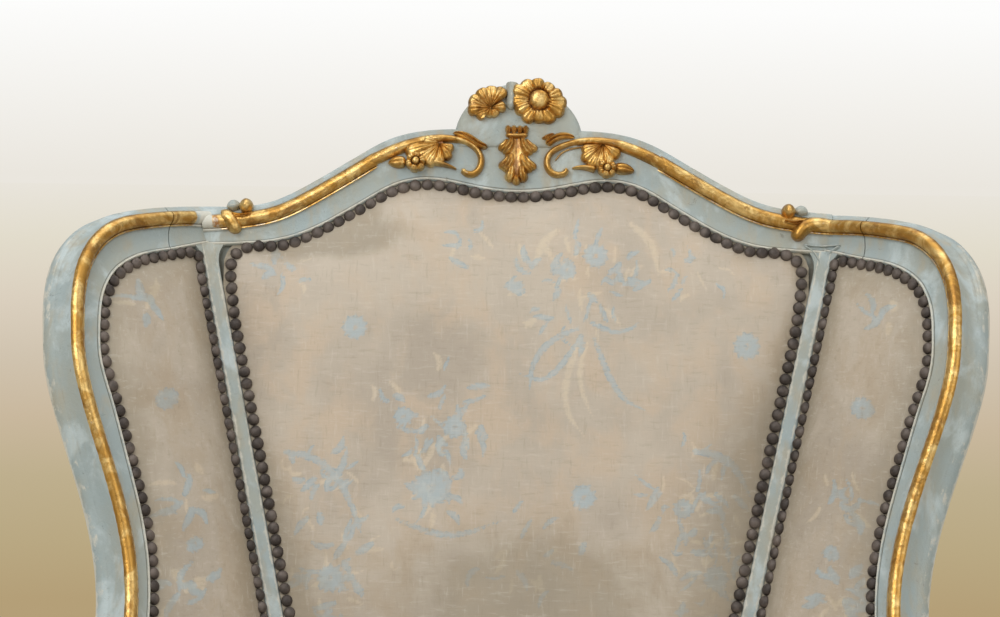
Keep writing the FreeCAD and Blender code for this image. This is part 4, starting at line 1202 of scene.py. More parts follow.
@dataclass(frozen=True)
class Bloom:
    """Flower or leaf fan carved in one: lobes that overlap round a middle. Each tip
    is x, height and half width of its lobe."""

    centre: tuple[float, float]
    tips: tuple[tuple[float, float, float], ...]
    height: float = 9.0
    heart: float = 0.0
    vein: float = 0.1
    dark: float = 0.05
    turns: int = 144
    rings: int = 18

    def shell(self, place: Callable[..., Array] = back_point) -> Shell:
        """Relief with a crevice between lobes and a domed heart.

        Args:
            place: Maps x, z and height to points.

        Returns:
            The closed relief.
        """
        cx, cz = self.centre
        offset = np.array([(x - cx, z - cz) for x, z, _ in self.tips])
        reach = np.hypot(*offset.T)
        aim = np.arctan2(offset[:, 1], offset[:, 0])
        wide = np.array([half for _, _, half in self.tips]) / (reach * 0.74)
        angle = np.linspace(-math.pi, math.pi, self.turns, endpoint=False)
        apart = np.angle(np.exp(1j * (angle - aim[:, None])))
        v = np.clip(np.abs(apart) / wide[:, None], 0, 1)
        lobes = np.where(v < 1, reach[:, None] * (0.66 + 0.34 * (1 - v ** 2.6) ** 0.5), 0)
        edge = np.maximum(lobes.max(0), reach.min() * 0.25)
        share = np.r_[np.linspace(0.04, 0.9, self.rings - 3), 0.95, 0.985, 1.0][:, None]
        radius = share * edge
        along = np.clip(radius / reach[:, None, None], 0, 1)
        body = 0.5 + 0.5 * np.sin(np.pi * (0.08 + 0.72 * along))
        across = 0.35 + 0.65 * np.sqrt(1 - v ** 2)[:, None]
        vein = 1 - self.vein * np.exp(-(apart / wide[:, None] / 0.16) ** 2)[:, None]
        stagger = np.where(np.arange(len(reach)) % 2, 0.84, 1.0)[:, None, None]
        lift = np.where(v[:, None] < 1, body * across * vein * stagger, 0)
        top = np.maximum(lift.max(0), 0.3)
        gap = np.clip((0.72 - across.max(0)) / 0.3, 0, 1) * np.ones_like(radius)
        rim = 1 - 0.65 * np.clip((share - 0.9) / 0.1, 0, 1) ** 2
        out = self.height * top * rim
        if self.heart:
            dome = np.clip(1 - (radius / self.heart) ** 4, 0, 1) ** 0.5
            out = np.maximum(out * np.where(radius < self.heart * 1.15, 0.72, 1),
                             self.height * (0.7 + 0.42 * dome) * (dome > 0))
            gap = np.where(dome > 0, 0, gap) + np.exp(-((radius / self.heart - 1.06) / 0.08) ** 2)
        rows = [(cx + radius[i] * np.cos(angle), cz + radius[i] * np.sin(angle), out[i])
                for i in range(self.rings)]
        rows.append((rows[-1][0], rows[-1][1], np.full(self.turns, -6.0)))
        gap = np.concatenate([gap, np.ones((1, self.turns))])
        points = np.array([place(x, z, o) for x, z, o in rows])
        return loft(points[::-1], {"gilt": np.ones_like(gap)[::-1], "edge": (0.25 * (1 - gap))[::-1],
                                   "hollow": np.clip(gap * 0.8 + self.dark, 0, 1)[::-1]})


@dataclass(frozen=True)
class Stroke:
    """One carved ridge: rows of x, z, half width and height, and how it is cut."""

    rows: tuple[tuple[float, float, float, float], ...]
    groove: float = 0.0
    ends: tuple[float, float] = (3.0, 3.0)
    base: float = -2.5
    gilt: float = 1.0
    dark: float = 0.0
    depth: float = 2.5
    count: int = 22

    def shell(self, place: Callable[..., Array] = back_point, corners: int = 13) -> Shell:
        """Rounded ridge with crevices at its foot and in its groove.

        Args:
            place: Maps x, z and height to points.
            corners: Points across the ridge.

        Returns:
            The closed ridge.
        """
        rows = smooth_line(self.rows, self.count, 2)
        x, z, half, height = rows.T
        run = np.r_[0, np.cumsum(np.hypot(np.diff(x), np.diff(z)))]
        for length, distance in zip(self.ends, (run, run[-1] - run)):
            ease = np.sqrt(1 - (1 - np.clip(distance / max(length, 0.01), 0, 1)) ** 2)
            half, height = half * np.maximum(ease, 0.04), height * np.maximum(ease, 0.1) ** 0.6
        step = unit(np.gradient(rows[:, :2], axis=0))
        v = np.linspace(-1, 1, corners)
        rise = (1 - np.abs(v) ** 2.2) ** 0.6 - self.groove * np.exp(-(v / 0.2) ** 2)
        across = np.r_[v, 1.0, -1.0]
        out = np.concatenate([self.base + (height[:, None] - self.base) * rise,
                              np.full((len(x), 2), self.base - self.depth)], 1)
        px = x[:, None] - step[:, 1, None] * across * half[:, None]
        pz = z[:, None] + step[:, 0, None] * across * half[:, None]
        foot = np.r_[np.clip((np.abs(v) - 0.84) / 0.16, 0, 1), 1, 1]
        groove = np.r_[np.exp(-(v / 0.16) ** 2), 0, 0] * min(1.0, 2 * self.groove)
        ridge = np.r_[np.exp(-((np.abs(v) - (0.45 if self.groove else 0.0)) / 0.25) ** 2), 0, 0]
        return loft(place(px, pz, out), {"gilt": np.full(corners + 2, self.gilt), "edge": 0.5 * ridge,
                                         "hollow": np.clip(foot * 0.8 + groove * 0.6 + self.dark, 0, 1)})


def finger(x0: float, z0: float, x1: float, z1: float, half: float, groove: float = 0.22,
           height: float = 9.0, bend: float = 0.0, **cut: float) -> Stroke:
    """Petal or leaf lobe from its root to its rounded tip.

    Args:
        x0: Root x.
        z0: Root z.
        x1: Tip x.
        z1: Tip z.
        half: Widest half width.
        groove: Depth of the middle groove as a share of the height.
        height: Rise at the middle.
        bend: Sideways bow as a share of the length.
        cut: Other values of the stroke.

    Returns:
        The stroke.
    """
    mx, mz = (x0 + x1) / 2 - (z1 - z0) * bend, (z0 + z1) / 2 + (x1 - x0) * bend
    return Stroke(((x0, z0, half * 0.55, height * 0.6), (mx, mz, half * 1.05, height),
                   (x1, z1, half * 1.05, height * 0.66)), groove, (1.5, half * 1.1), count=20, **cut)


@dataclass
class CrestCarving:
    """Carved block with two flowers, pendant leaf, scrolls and sprays."""

    finishes: Finishes

    FOOT_Z = 1026.0
    OUTLINE = [(-53.5, FOOT_Z), (-53.4, 1040), (-48.5, 1055), (-38.5, 1067), (-25, 1075.5), (-10, 1081),
               (3, 1081), (20, 1077.5), (36, 1068.5), (48, 1056), (54.2, 1040), (54.5, FOOT_Z)]
    RIGHT_TIPS = ((15.4, 1085.4, 6.2), (3.4, 1083.0, 6.0), (-5.6, 1076.4, 5.6), (-6.4, 1065.6, 5.4),
                  (-3.0, 1056.4, 5.4), (5.4, 1047.6, 5.8), (17.4, 1046.8, 6.2), (29.0, 1047.6, 6.4),
                  (38.4, 1055.2, 5.8), (41.0, 1064.4, 5.6), (37.0, 1073.2, 5.4), (28.4, 1081.0, 6.0))
    LEFT_TIPS = ((-12.2, 1076.6, 6.0), (-22.6, 1078.6, 6.0), (-33.4, 1075.6, 6.0), (-41.8, 1067.4, 6.0),
                 (-43.0, 1057.4, 5.2), (-35.6, 1051.6, 5.0), (-26.2, 1051.4, 4.8), (-17.4, 1052.6, 4.6),
                 (-10.4, 1060.8, 4.8))
    SCROLL_START = ((130, 1009.8, 5.7, 5.6), (119.5, 1015.9, 5.7, 5.8), (105.9, 1022.6, 5.6, 6.0),
                    (95, 1026.9, 5.4, 6.0))
    SCROLL_END = {
        Side.RIGHT: ((85, 1030.0, 5.2, 6.2), (72, 1032.2, 4.7, 6.2), (60, 1033.0, 3.9, 6.0),
                     (46.5, 1031.4, 3.1, 5.8), (33.5, 1026.8, 2.9, 5.8), (26, 1020.3, 3.1, 6),
                     (25, 1011.8, 3.3, 6), (29, 1005.9, 3.3, 6), (35.6, 1004.3, 3.0, 6.4),
                     (40.6, 1006.8, 2.8, 6.8), (41.0, 1010.4, 2.6, 7.4)),
        Side.LEFT: ((-82, 1030.6, 5.1, 6.2), (-68, 1033.2, 4.3, 6.2), (-51, 1032.8, 3.2, 6.0),
                    (-37.6, 1027.4, 2.9, 5.8), (-31.2, 1018.6, 3.1, 6), (-32, 1009.6, 3.4, 6),
                    (-37.6, 1004, 3.3, 6), (-43.6, 1004.6, 3.0, 6.6), (-47.4, 1008.2, 2.7, 7.4))}

    def build(self) -> None:
        """Carve the block, then everything that stands on it and beside it."""
        knob = Stroke(((-6.4, 1058, 4.6, 6.5), (-6.0, 1070, 5.2, 8.5), (-5.2, 1082.4, 5.4, 7.5)),
                      ends=(5, 1.5), base=-3.0, gilt=0.0, dark=0.3, depth=12.0)
        self.finishes.wood("crest_block", Shell.joined([self.block(), knob.shell()]), crease=60)
        for name, strokes in (("crest_flowers", self.flowers()), ("pendant_leaf", self.leaf()),
                              ("crest_scrolls", self.scrolls() + self.scroll_leaves()),
                              ("crest_sprays", self.sprays())):
            self.finishes.wood(name, Shell.joined(stroke.shell() for stroke in strokes), crease=70)

    def scrolls(self) -> list[Stroke]:
        """The two scrolls that carry on the gilt bead."""
        return [Stroke(tuple((side.value * x, *rest) for x, *rest in self.SCROLL_START) + end,
                       ends=(0.5, 2.6), count=70) for side, end in self.SCROLL_END.items()]

    def block(self) -> Shell:
        """Half-round block with a softly rounded, hand-cut face."""
        rim = smooth_line(self.OUTLINE, 60, 2)
        foot = np.linspace(rim[-1, 0], rim[0, 0], 24)[1:-1]
        ring = np.concatenate([rim, np.stack([foot, np.full(len(foot), self.FOOT_Z)], 1)])
        centre = np.array([0.5, 1046.0])
        rings, values = [], []
        for scale, out, worn in ((0.96, -32, 0), (0.995, -30, 0.2), (1.0, -26, 0.1), (1.0, -8, 0.0),
                                 (0.99, -3.4, 0.15), (0.955, -0.6, 0.3), (0.9, 0.9, 0.25), (0.8, 1.6, 0.1),
                                 (0.6, 2.0, 0), (0.35, 2.1, 0), (0.1, 2.1, 0)):
            spot = centre + (ring - centre) * scale
            chop = 0.35 * np.sin(spot[:, 0] * 0.7) * np.sin(spot[:, 1] * 0.55 + 1)
            rings.append(back_point(spot[:, 0], spot[:, 1], out + chop))
            values.append(np.full(len(ring), float(worn)))
        worn = np.array(values)
        return loft(np.array(rings), {"edge": worn, "gilt": worn * 0, "hollow": 0.32 - 0.3 * worn})

    def flowers(self) -> list[Bloom]:
        """Full flower on the right, half flower on the left."""
        return [Bloom((17.6, 1066.4), self.RIGHT_TIPS, 11.5, 8.2, 0.12, 0.14),
                Bloom((-23.5, 1059.0), self.LEFT_TIPS, 11.5, 0.0, 0.14, 0.14)]

    def leaf(self) -> list[Stroke]:
        """Acanthus leaf hanging from a small collar, three tiers of lobes."""
        strokes = [Stroke(((-1, 1037, 7, 3.5), (-1, 1020, 11, 4.5), (-1, 1008, 11, 4.5), (-1, 997, 7, 3)),
                          0.3, (1, 5), dark=0.45)]
        for x in (-8.2, -3.4, 1.6, 6.2):
            strokes.append(finger(x, 1036.5, x * 1.05, 1045.6, 2.9, 0.2, 7.5, dark=0.35))
        strokes.append(Stroke(((-11, 1037, 2.4, 6.5), (-1, 1036.2, 2.8, 8), (8.6, 1037.2, 2.4, 6.5)),
                              dark=0.4))
        for s in (-1, 1):
            strokes += [
                finger(s * 7.6 - 1, 1034, s * 16.6, 1024.8, 3.7, 0.16, 7.0, -0.12 * s, dark=0.15),
                finger(s * 4.4 - 1, 1036, s * 12.6, 1021.6, 4.6, 0.18, 9.5, -0.14 * s),
                finger(s * 6.6 - 1, 1020, s * 16.0, 1009.6, 3.7, 0.16, 7.0, -0.12 * s, dark=0.15),
                finger(s * 4.6 - 1, 1022, s * 12.4, 1006.8, 4.6, 0.18, 9.5, -0.14 * s),
                finger(s * 4.4 - 1, 1012, s * 6.8 - 1, 997.4, 4.5, 0.16, 9.5, -0.05 * s)]
        strokes.append(finger(-1, 1004, -1, 994.8, 3.8, 0.2, 9.0))
        return strokes

    def scroll_leaves(self) -> list[Stroke]:
        """Small leaves that curl over the scrolls' shoulders, and an inner fillet."""
        return [
            Stroke(((-55, 1038.2, 1.6, 6), (-46, 1036.6, 3.4, 8.5), (-38, 1032.4, 3.6, 9.5),
                    (-30, 1027.8, 3.2, 9), (-25.4, 1026.6, 2.2, 7.5)), 0.3, (3, 3)),
            Stroke(((48, 1035.6, 1.8, 6), (39.5, 1037, 3.6, 8.5), (30.6, 1034.4, 3.8, 9.5),
                    (23.4, 1029.6, 4.4, 8.5)), 0.34, (3, 4)),
            Stroke(((20, 1034, 1.6, 5), (25, 1036, 2.6, 6.5), (31, 1038.5, 2.0, 5)), 0.2, dark=0.3),
            Stroke(((66, 1029.2, 0.9, 1.6), (49, 1027.2, 0.9, 1.8), (37, 1022.6, 0.9, 1.8),
                    (31.4, 1016, 0.8, 1.4)), dark=0.4, count=30)]

    def sprays(self) -> list[Stroke | Bloom]:
        """Feathered sprays with a rosette and a leaf tip, one each side."""
        pieces: list[Stroke | Bloom] = [
            Stroke(((-109.5, 1012, 1.5, 5), (-102.5, 1013.0, 5.4, 8.5), (-94, 1013.4, 4.6, 7)), 0.15),
            Bloom((-66, 1029), ((-95, 1020.5, 5.6), (-86, 1013.5, 5.4), (-76, 1009.6, 5.0),
                                (-66, 1010.4, 4.6), (-57.4, 1015.4, 4.4), (-54.4, 1023.6, 4.2),
                                (-80, 1031.5, 4.4)), 9.5),
            Stroke(((-72, 1013.4, 3.0, 8), (-61.2, 1011.4, 2.4, 7), (-51.5, 1007.8, 0.9, 4)), ends=(2, 1)),
            Stroke(((98.6, 1007.8, 1.8, 5), (90.4, 1010.0, 5.2, 8.5), (81.8, 1010.8, 4.6, 7)), 0.15),
            Bloom((72, 1030), ((85.6, 1019.4, 5.2), (77.6, 1011.6, 5.2), (68.4, 1008.8, 5.0),
                               (59.6, 1010.4, 4.8), (53.8, 1016.4, 4.4), (53.6, 1024.4, 4.2)), 9.5),
            Stroke(((66, 1008.8, 3.2, 8), (56.2, 1010.8, 2.5, 7), (45.6, 1009.8, 0.9, 4)), ends=(2, 1))]
        for cx, cz, size in ((-86, 1013.0, 8.8), (75.4, 1009.6, 8.2)):
            turns = [k * math.tau / 6 + 0.3 for k in range(6)]
            tips = tuple((cx + size * math.cos(a), cz + size * 0.95 * math.sin(a), size * 0.46) for a in turns)
            pieces.append(Bloom((cx, cz), tips, 12.5, size * 0.36, 0.1, 0.0, 90))
        return pieces


@dataclass
class ShoulderCarving:
    """Ball, drooping bulb and small spandrel where crest and wing meet."""

    finishes: Finishes
    side: Side

    def build(self) -> None:
        """Carve the ornaments in the folded plane, mirrored for the left."""
        right = self.side is Side.RIGHT
        x, z = (228.6, 975.4) if right else (228.0, 973.8)
        bulb_root, bulb_neck = (262, 250) if right else (249, 245.5)
        ball = Stroke(((x - 6, z, 6.4, 10), (x, z + 0.3, 7.4, 12), (x + 6, z, 6.4, 10)),
                      ends=(6.6, 6.6), depth=10)
        boss = Stroke(((x + 5.5, z + 0.8, 5.6, 3), (x + 11, z + 1.2, 6.4, 4.5), (x + 16.5, z, 5.6, 3)),
                      ends=(5.6, 5.6), base=-12, gilt=0, dark=0.25, depth=10)
        leaf = Stroke(((x - 5, 968.0, 2.0, 7.5), (x + 4, 965.8, 2.8, 9), (x + 13, 967.6, 2.2, 7.5)), 0.2,
                      dark=0.2)
        bulb = Stroke(((bulb_root, 965.4, 5.6, 6.2), (bulb_neck, 965.6, 6.6, 7.8), (240.5, 962.0, 7.2, 9.5),
                       (234.0, 951.6, 5.6, 8.5)), ends=(1, 5.5), count=34)
        strokes = [ball, boss, leaf, bulb]
        if right:
            # raised border of the painted triangle beside the bulb
            for rows in (((241, 948.6), (256, 947.4), (271, 948.8)),
                         ((241.4, 948.0), (250.4, 941.6), (256.4, 929.6)),
                         ((270.4, 948.0), (263.0, 941.6), (257.4, 929.6))):
                strokes.append(Stroke(tuple((*at, 1.1, 1.5) for at in rows), ends=(2, 2), gilt=0, dark=0.3))
        shells = [self.spandrel()] + [stroke.shell(folded_point) for stroke in strokes]
        self.finishes.wood(f"shoulder_carving_{self.side.tag}", Shell.joined(shells).mirrored(self.side),
                           crease=70)

    @staticmethod
    def spandrel() -> Shell:
        """Flat painted corner where the top of the stile widens into the rail."""
        rows = smooth_line([(942, 14), (938, 10.8), (932, 8.0), (924, 6.9), (912, 6.6)], 24, 2)
        share = np.linspace(-1, 1, 15)
        z = rows[:, :1] * np.ones(15)
        middle = STILE_FOOT_X + STILE_SLOPE * z
        x = middle + share * rows[:, 1:] * np.where(share > 0, math.cos(TURN), 1.0)
        front = folded_point(x, z, np.full_like(z, 0.3))
        return plate(front, folded_point(x, z, np.full_like(z, -7.0)))


def plan_normals(points: Array, axis: int = 0) -> Array:
    """Level unit vectors square to a plan line.

    Args:
        points: The line.
        axis: The coordinate that grows on the vectors' side: 0 for x, 1 for y.

    Returns:
        One vector per point.
    """
    step = unit(np.gradient(points[:, :2], axis=0))
    square = np.stack([-step[:, 1], step[:, 0], np.zeros(len(step))], 1)
    return square * np.where(square[:, axis:axis + 1] > 0, 1, -1)


@dataclass
class Arm:
    """Swept arm with a gilt bead and scroll, its curved support and its pad."""

    finishes: Finishes
    side: Side
    under: float = 592.0
    top: float = 622.0

    LINE = [(208, 254, 15), (256, 201, 15), (303, 148, 20), (329, 92, 20), (343, 15, 20), (350, -75, 20),
            (352, -150, 20), (349.5, -205, 20), (348, -219, 20)]
    SUPPORT = [(312, -158, 318, 24), (316, -150, 360, 19), (326, -152, 420, 16), (338, -172, 490, 16),
               (346, -204, 550, 17), (348, -218, 597, 18)]
    PAD = [(341, 30, 9, 10), (344, 8, 14.5, 19), (349, -50, 15.5, 23), (351.5, -110, 14.5, 20),
           (352, -134, 9, 10)]
    HUB = (348.0, -219.0)

    def build(self) -> None:
        """Make rail, scroll, support and pad."""
        tag = self.side.tag
        rail = Shell.joined([self.rail(), *self.scroll()]).mirrored(self.side)
        self.finishes.wood(f"arm_moulding_{tag}", rail, f"arm_rail_{tag}", crease=50)
        self.finishes.wood(f"arm_post_{tag}", self.post().mirrored(self.side), f"arm_support_{tag}", crease=60)
        pad = self.finishes.leather(f"arm_hide_pad_{tag}", Slot.HIDE, self.pad().mirrored(self.side),
                                    f"arm_pad_cover_{tag}", f"arm_pad_stuffing_{tag}", crease=60)

    def rail(self) -> Shell:
        """Moulded section swept along the arm: flat top, bead outside, cove under it."""
        rows = smooth_line([(x, y, 0, half) for x, y, half in self.LINE], 90, 2)
        side, half = plan_normals(rows), rows[:, 3:4]
        top, under = self.top, self.under
        corners = [(half - 6 + 4.2 * math.cos(a), top + 0.6 + 4.4 * math.sin(a))
                   for a in np.radians(np.linspace(180, -10, 9))]
        corners += [(half - 0.6, top - 4), (half - 2.4, top - 9), (half - 5, top - 16),
                    (half - 4.4, top - 22), (half - 5.5, under + 2.5), (half - 8, under), (3.5 - half, under),
                    (0.8 - half, under + 2.5), (-half, under + 7), (-half, top - 4), (0.9 - half, top - 1.2),
                    (3.4 - half, top - 0.2), (half - 11.5, top - 0.2)]
        points = np.stack([rows[:, :3] + side * across + UP * z for across, z in corners], 1)
        gilt = np.array([1.0] * 9 + [0] * 13)
        hollow = np.array([0.6] + [0] * 7 + [0.5, 0, 0.4, 0.8, 0.4] + [0] * 8 + [0.6])
        edge = np.array([0, 0.2, 0.4, 0.5, 0.5, 0.5, 0.4, 0.2, 0, 0.8, 0.3, 0, 0, 0.4, 0, 0, 0, 0, 0.5, 0.8,
                         0.5, 0])
        return loft(points, {"gilt": gilt, "hollow": hollow, "edge": edge})

    def scroll(self) -> list[Shell]:
        """Rounded hand scroll: a turned drum with a spiral bead on its outer face."""
        x, y = self.HUB
        hub = vec(x, y, self.top - 17.0)
        angles = np.linspace(0, 2 * math.pi, 48, endpoint=False)
        circle = np.stack([0 * angles, np.cos(angles), np.sin(angles)], 1)
        wheel = ((-22, 13, 0), (-21.8, 16.5, 0), (-20, 18.6, .9), (-16, 19.4, .3), (16, 19.4, .3),
                 (20, 18.6, .9), (21.8, 16.5, 0), (22, 13, 0))
        rings = np.array([hub + vec(across, 0, 0) + circle * radius for across, radius, _ in wheel])
        drum = loft(rings, {"gilt": np.zeros(1), "hollow": np.full(1, 0.2),
                            "edge": np.array([[edge] for *_, edge in wheel])})
        turn = np.linspace(0, 3.6 * math.pi, 90)
        radius = (15.0 * (1 - turn / turn[-1]) ** 0.8 + 1.6)[:, None]
        outward = np.stack([0 * turn, np.cos(turn + 1.3), np.sin(turn + 1.3)], 1)
        thick = np.linspace(2.3, 1.5, 90)[:, None, None]
        ring = np.linspace(0, 2 * math.pi, 10, endpoint=False)[:, None]
        coils = []
        for face in (-1, 1):
            centre = hub + vec(face * 21.4, 0, 0) + outward * radius
            tube = centre[:, None] + thick * (outward[:, None] * np.cos(ring) + vec(face, 0, 0) * np.sin(ring))
            coils.append(loft(tube, {"gilt": np.ones(10), "edge": np.full(10, 0.3), "hollow": np.zeros(10)}))
        return [drum] + coils

    def post(self) -> Shell:
        """Curved support with a raised front fillet."""
        x, y, z, half = (column[:, None] for column in smooth_line(self.SUPPORT, 46).T)
        angles = np.linspace(0, 2 * math.pi, 32, endpoint=False)
        squared = (np.abs(np.cos(angles)) ** 3 + np.abs(np.sin(angles)) ** 3) ** (-1 / 3)
        ahead = angles - 1.5 * math.pi
        front = np.exp(-(ahead / 0.34) ** 2)
        points = np.stack([x + half * np.cos(angles) * squared * 0.92,
                           y + half * 1.13 * np.sin(angles) * squared * (1 + 0.1 * front) * 0.92,
                           z + 0 * angles], -1)
        groove = np.exp(-((np.abs(ahead) - 0.45) / 0.1) ** 2)
        return loft(points, {"gilt": np.clip(front * 1.6 - 0.5, 0, 1), "hollow": groove * 0.9,
                             "edge": front * 0.3})

    def pad(self) -> Shell:
        """Stuffed pad with a rolled edge, fullest in the middle."""
        rows = smooth_line([(x, y, 0, half, rise) for x, y, half, rise in self.PAD], 60, 2)
        side = plan_normals(rows)
        ease = np.sqrt(np.clip(np.sin(np.linspace(0, math.pi, 60)), 0, 1)) * 0.98 + 0.02
        half, rise = (rows[:, 3] - 2.6) * (0.55 + 0.45 * ease), rows[:, 4] * ease
        v = np.linspace(-1, 1, 19)
        lift = (1 - np.abs(v) ** 3) ** 0.55
        points = rows[:, None, :3] + side[:, None] * (v * half[:, None] - 2.4)[..., None] \
            + UP * (self.top + 0.4 + rise[:, None] * lift)[..., None]
        base = np.stack([points[:, -1] - UP * 0.6, points[:, 0] - UP * 0.6], 1)
        # painted shade: darker on the rolled edges and underneath
        near = np.clip((np.abs(v) - 0.86) / 0.12, 0, 1)
        return loft(np.concatenate([points, base], 1),
                    {"hollow": np.r_[near, 1, 1], "stain": np.r_[near * 0.5, 1, 1]})


SIDE_ROWS = [(337.0, (196, 180), (262, 22), (304, -148)), (420.0, (197, 196), (278, 32), (318, -146)),
             (505.0, (202, 210), (296, 42), (333, -172)), (590.0, (206, 222), (314, 62), (341, -208))]


@dataclass
class SidePanel:
    """Upholstered inside and plain outside of a closed arm."""

    finishes: Finishes
    side: Side
    stuffing: float = 24.0
    skin: float = 25.0
    taper: float = 12.0
    rows: int = 60
    columns: int = 80
    low: float = 336.0
    high: float = 591.0

    BLOSSOMS = [(60, 540, 13, 0.1), (-40, 500, 12, 0.5), (90, 460, 11, 0.3), (-110, 545, 11, 0.8),
                (10, 430, 12, 0.2)]
    STEM = [([(120, 560), (80, 520), (20, 530), (-30, 490), (-90, 520)], 4.0)]

    def sheet(self, offset: float, low: float, high: float, crown: float = 0.0) -> Array:
        """Grid at an offset from the side line, outwards when positive.

        Args:
            offset: Distance from the line.
            low: Lower height.
            high: Upper height.
            crown: Extra swelling in the middle.

        Returns:
            Rows by columns by 3.
        """
        table = np.array([[z, *rear, *middle, *front] for z, rear, middle, front in SIDE_ROWS], float)
        heights = np.linspace(low, high, self.rows)
        grid = np.empty((self.rows, self.columns, 3))
        t = np.linspace(0, 1, self.columns)
        for i, z in enumerate(heights):
            rear, middle, front = spline(table[:, 0], table[:, 1:], np.array([z]))[0].reshape(3, 2)
            control = 2 * middle - (rear + front) / 2
            line = np.outer((1 - t) ** 2, rear) + np.outer(2 * t * (1 - t), control) + np.outer(t ** 2, front)
            rows3 = np.column_stack([line, np.zeros(self.columns)])
            normal = plan_normals(rows3)
            reach = np.sign(offset) * (abs(offset) - self.taper * t ** 2)
            rise = np.clip(min(z - low, high - z) / 60, 0, 1) ** 0.7
            swell = crown * np.sin(math.pi * t) ** 0.6 * rise
            grid[i] = rows3 + normal * (reach - swell)[:, None] + UP * z
        return grid

    def build(self) -> None:
        """Pad the inside and close the outside."""
        tag, low, high = self.side.tag, self.low, self.high
        inner = self.sheet(-self.stuffing, low, high, 9.0)
        w, t = np.linspace(0, 1, self.rows)[:, None], np.linspace(0, 1, self.columns)[None]
        near = np.minimum(np.minimum(w, 1 - w) * (high - low), np.minimum(t, 1 - t) * 340)
        y, z = inner[..., 1], inner[..., 2]
        blue, cream = flower_marks(y, z, self.BLOSSOMS)
        # painted shade: darker towards the edges
        values = {"blue": np.maximum(blue, stroke_marks(y, z, self.STEM) * 0.6), "cream": cream,
                  "stain": 0.7 * np.exp(-near / 14), "hollow": np.exp(-near / 6)}
        lining = plate(inner, self.sheet(-2.0, low, high), values).mirrored(self.side)
        pad = self.finishes.leather(f"side_hide_pad_{tag}", Slot.HIDE, lining,
                                    f"side_inner_cover_{tag}", f"side_stuffing_{tag}")
        # painted shade: darker towards the edges and a little darker all over
        outer = plate(self.sheet(self.skin + 1.0, 323, high), self.sheet(self.skin - 1.0, 323, high),
                      {"stain": 0.8 * np.exp(-near / 12) + 0.2, "hollow": np.exp(-near / 6)})
        self.finishes.leather(f"side_outside_hide_{tag}", Slot.PLAIN, outer.mirrored(self.side),
                              f"side_outer_cover_{tag}")


@dataclass
class OutsideCovers:
    """Plain hide over the rear of the back and of the wings."""

    finishes: Finishes

    def build(self) -> None:
        """Close the back and both wings from behind."""
        x, z = BackPanel(self.finishes, columns=120, rows=150).outline(5.0)
        half = (stile_x(z) - NAIL_INSET + 5).clip(None, 245)
        near = np.minimum(half - np.abs(x), np.minimum(z[-1] - z, z - z[0])).clip(0)
        slack = 1.2 * np.sin(x / 60) * np.sin(z / 85) * np.clip(near / 30, 0, 1)
        # painted shade: darker towards the edges
        values = {"stain": 0.7 * np.exp(-near / 18) + 0.15, "hollow": np.exp(-near / 7)}
        cover = plate(back_point(x, z, -40.2 - slack), back_point(x, z, -38.2), values)
        self.finishes.leather("back_outside_hide", Slot.PLAIN, cover, "back_outer_cover")
        for side in Side:
            x, z, inner, outer = WingPanel(self.finishes, side, columns=40, rows=90).grid(5.0)
            near = np.minimum(np.minimum(x - inner, outer - x) / math.cos(TURN),
                              np.minimum(z[-1] - z, z - z[0])).clip(0)
            # painted shade: darker towards the edges
            values = {"stain": 0.7 * np.exp(-near / 16) + 0.15, "hollow": np.exp(-near / 6)}
            cover = plate(wing_point(x, z, -36.2), wing_point(x, z, -34.2), values).mirrored(side)
            self.finishes.leather(f"wing_outside_hide_{side.tag}", Slot.PLAIN, cover,
                                  f"wing_outer_cover_{side.tag}")


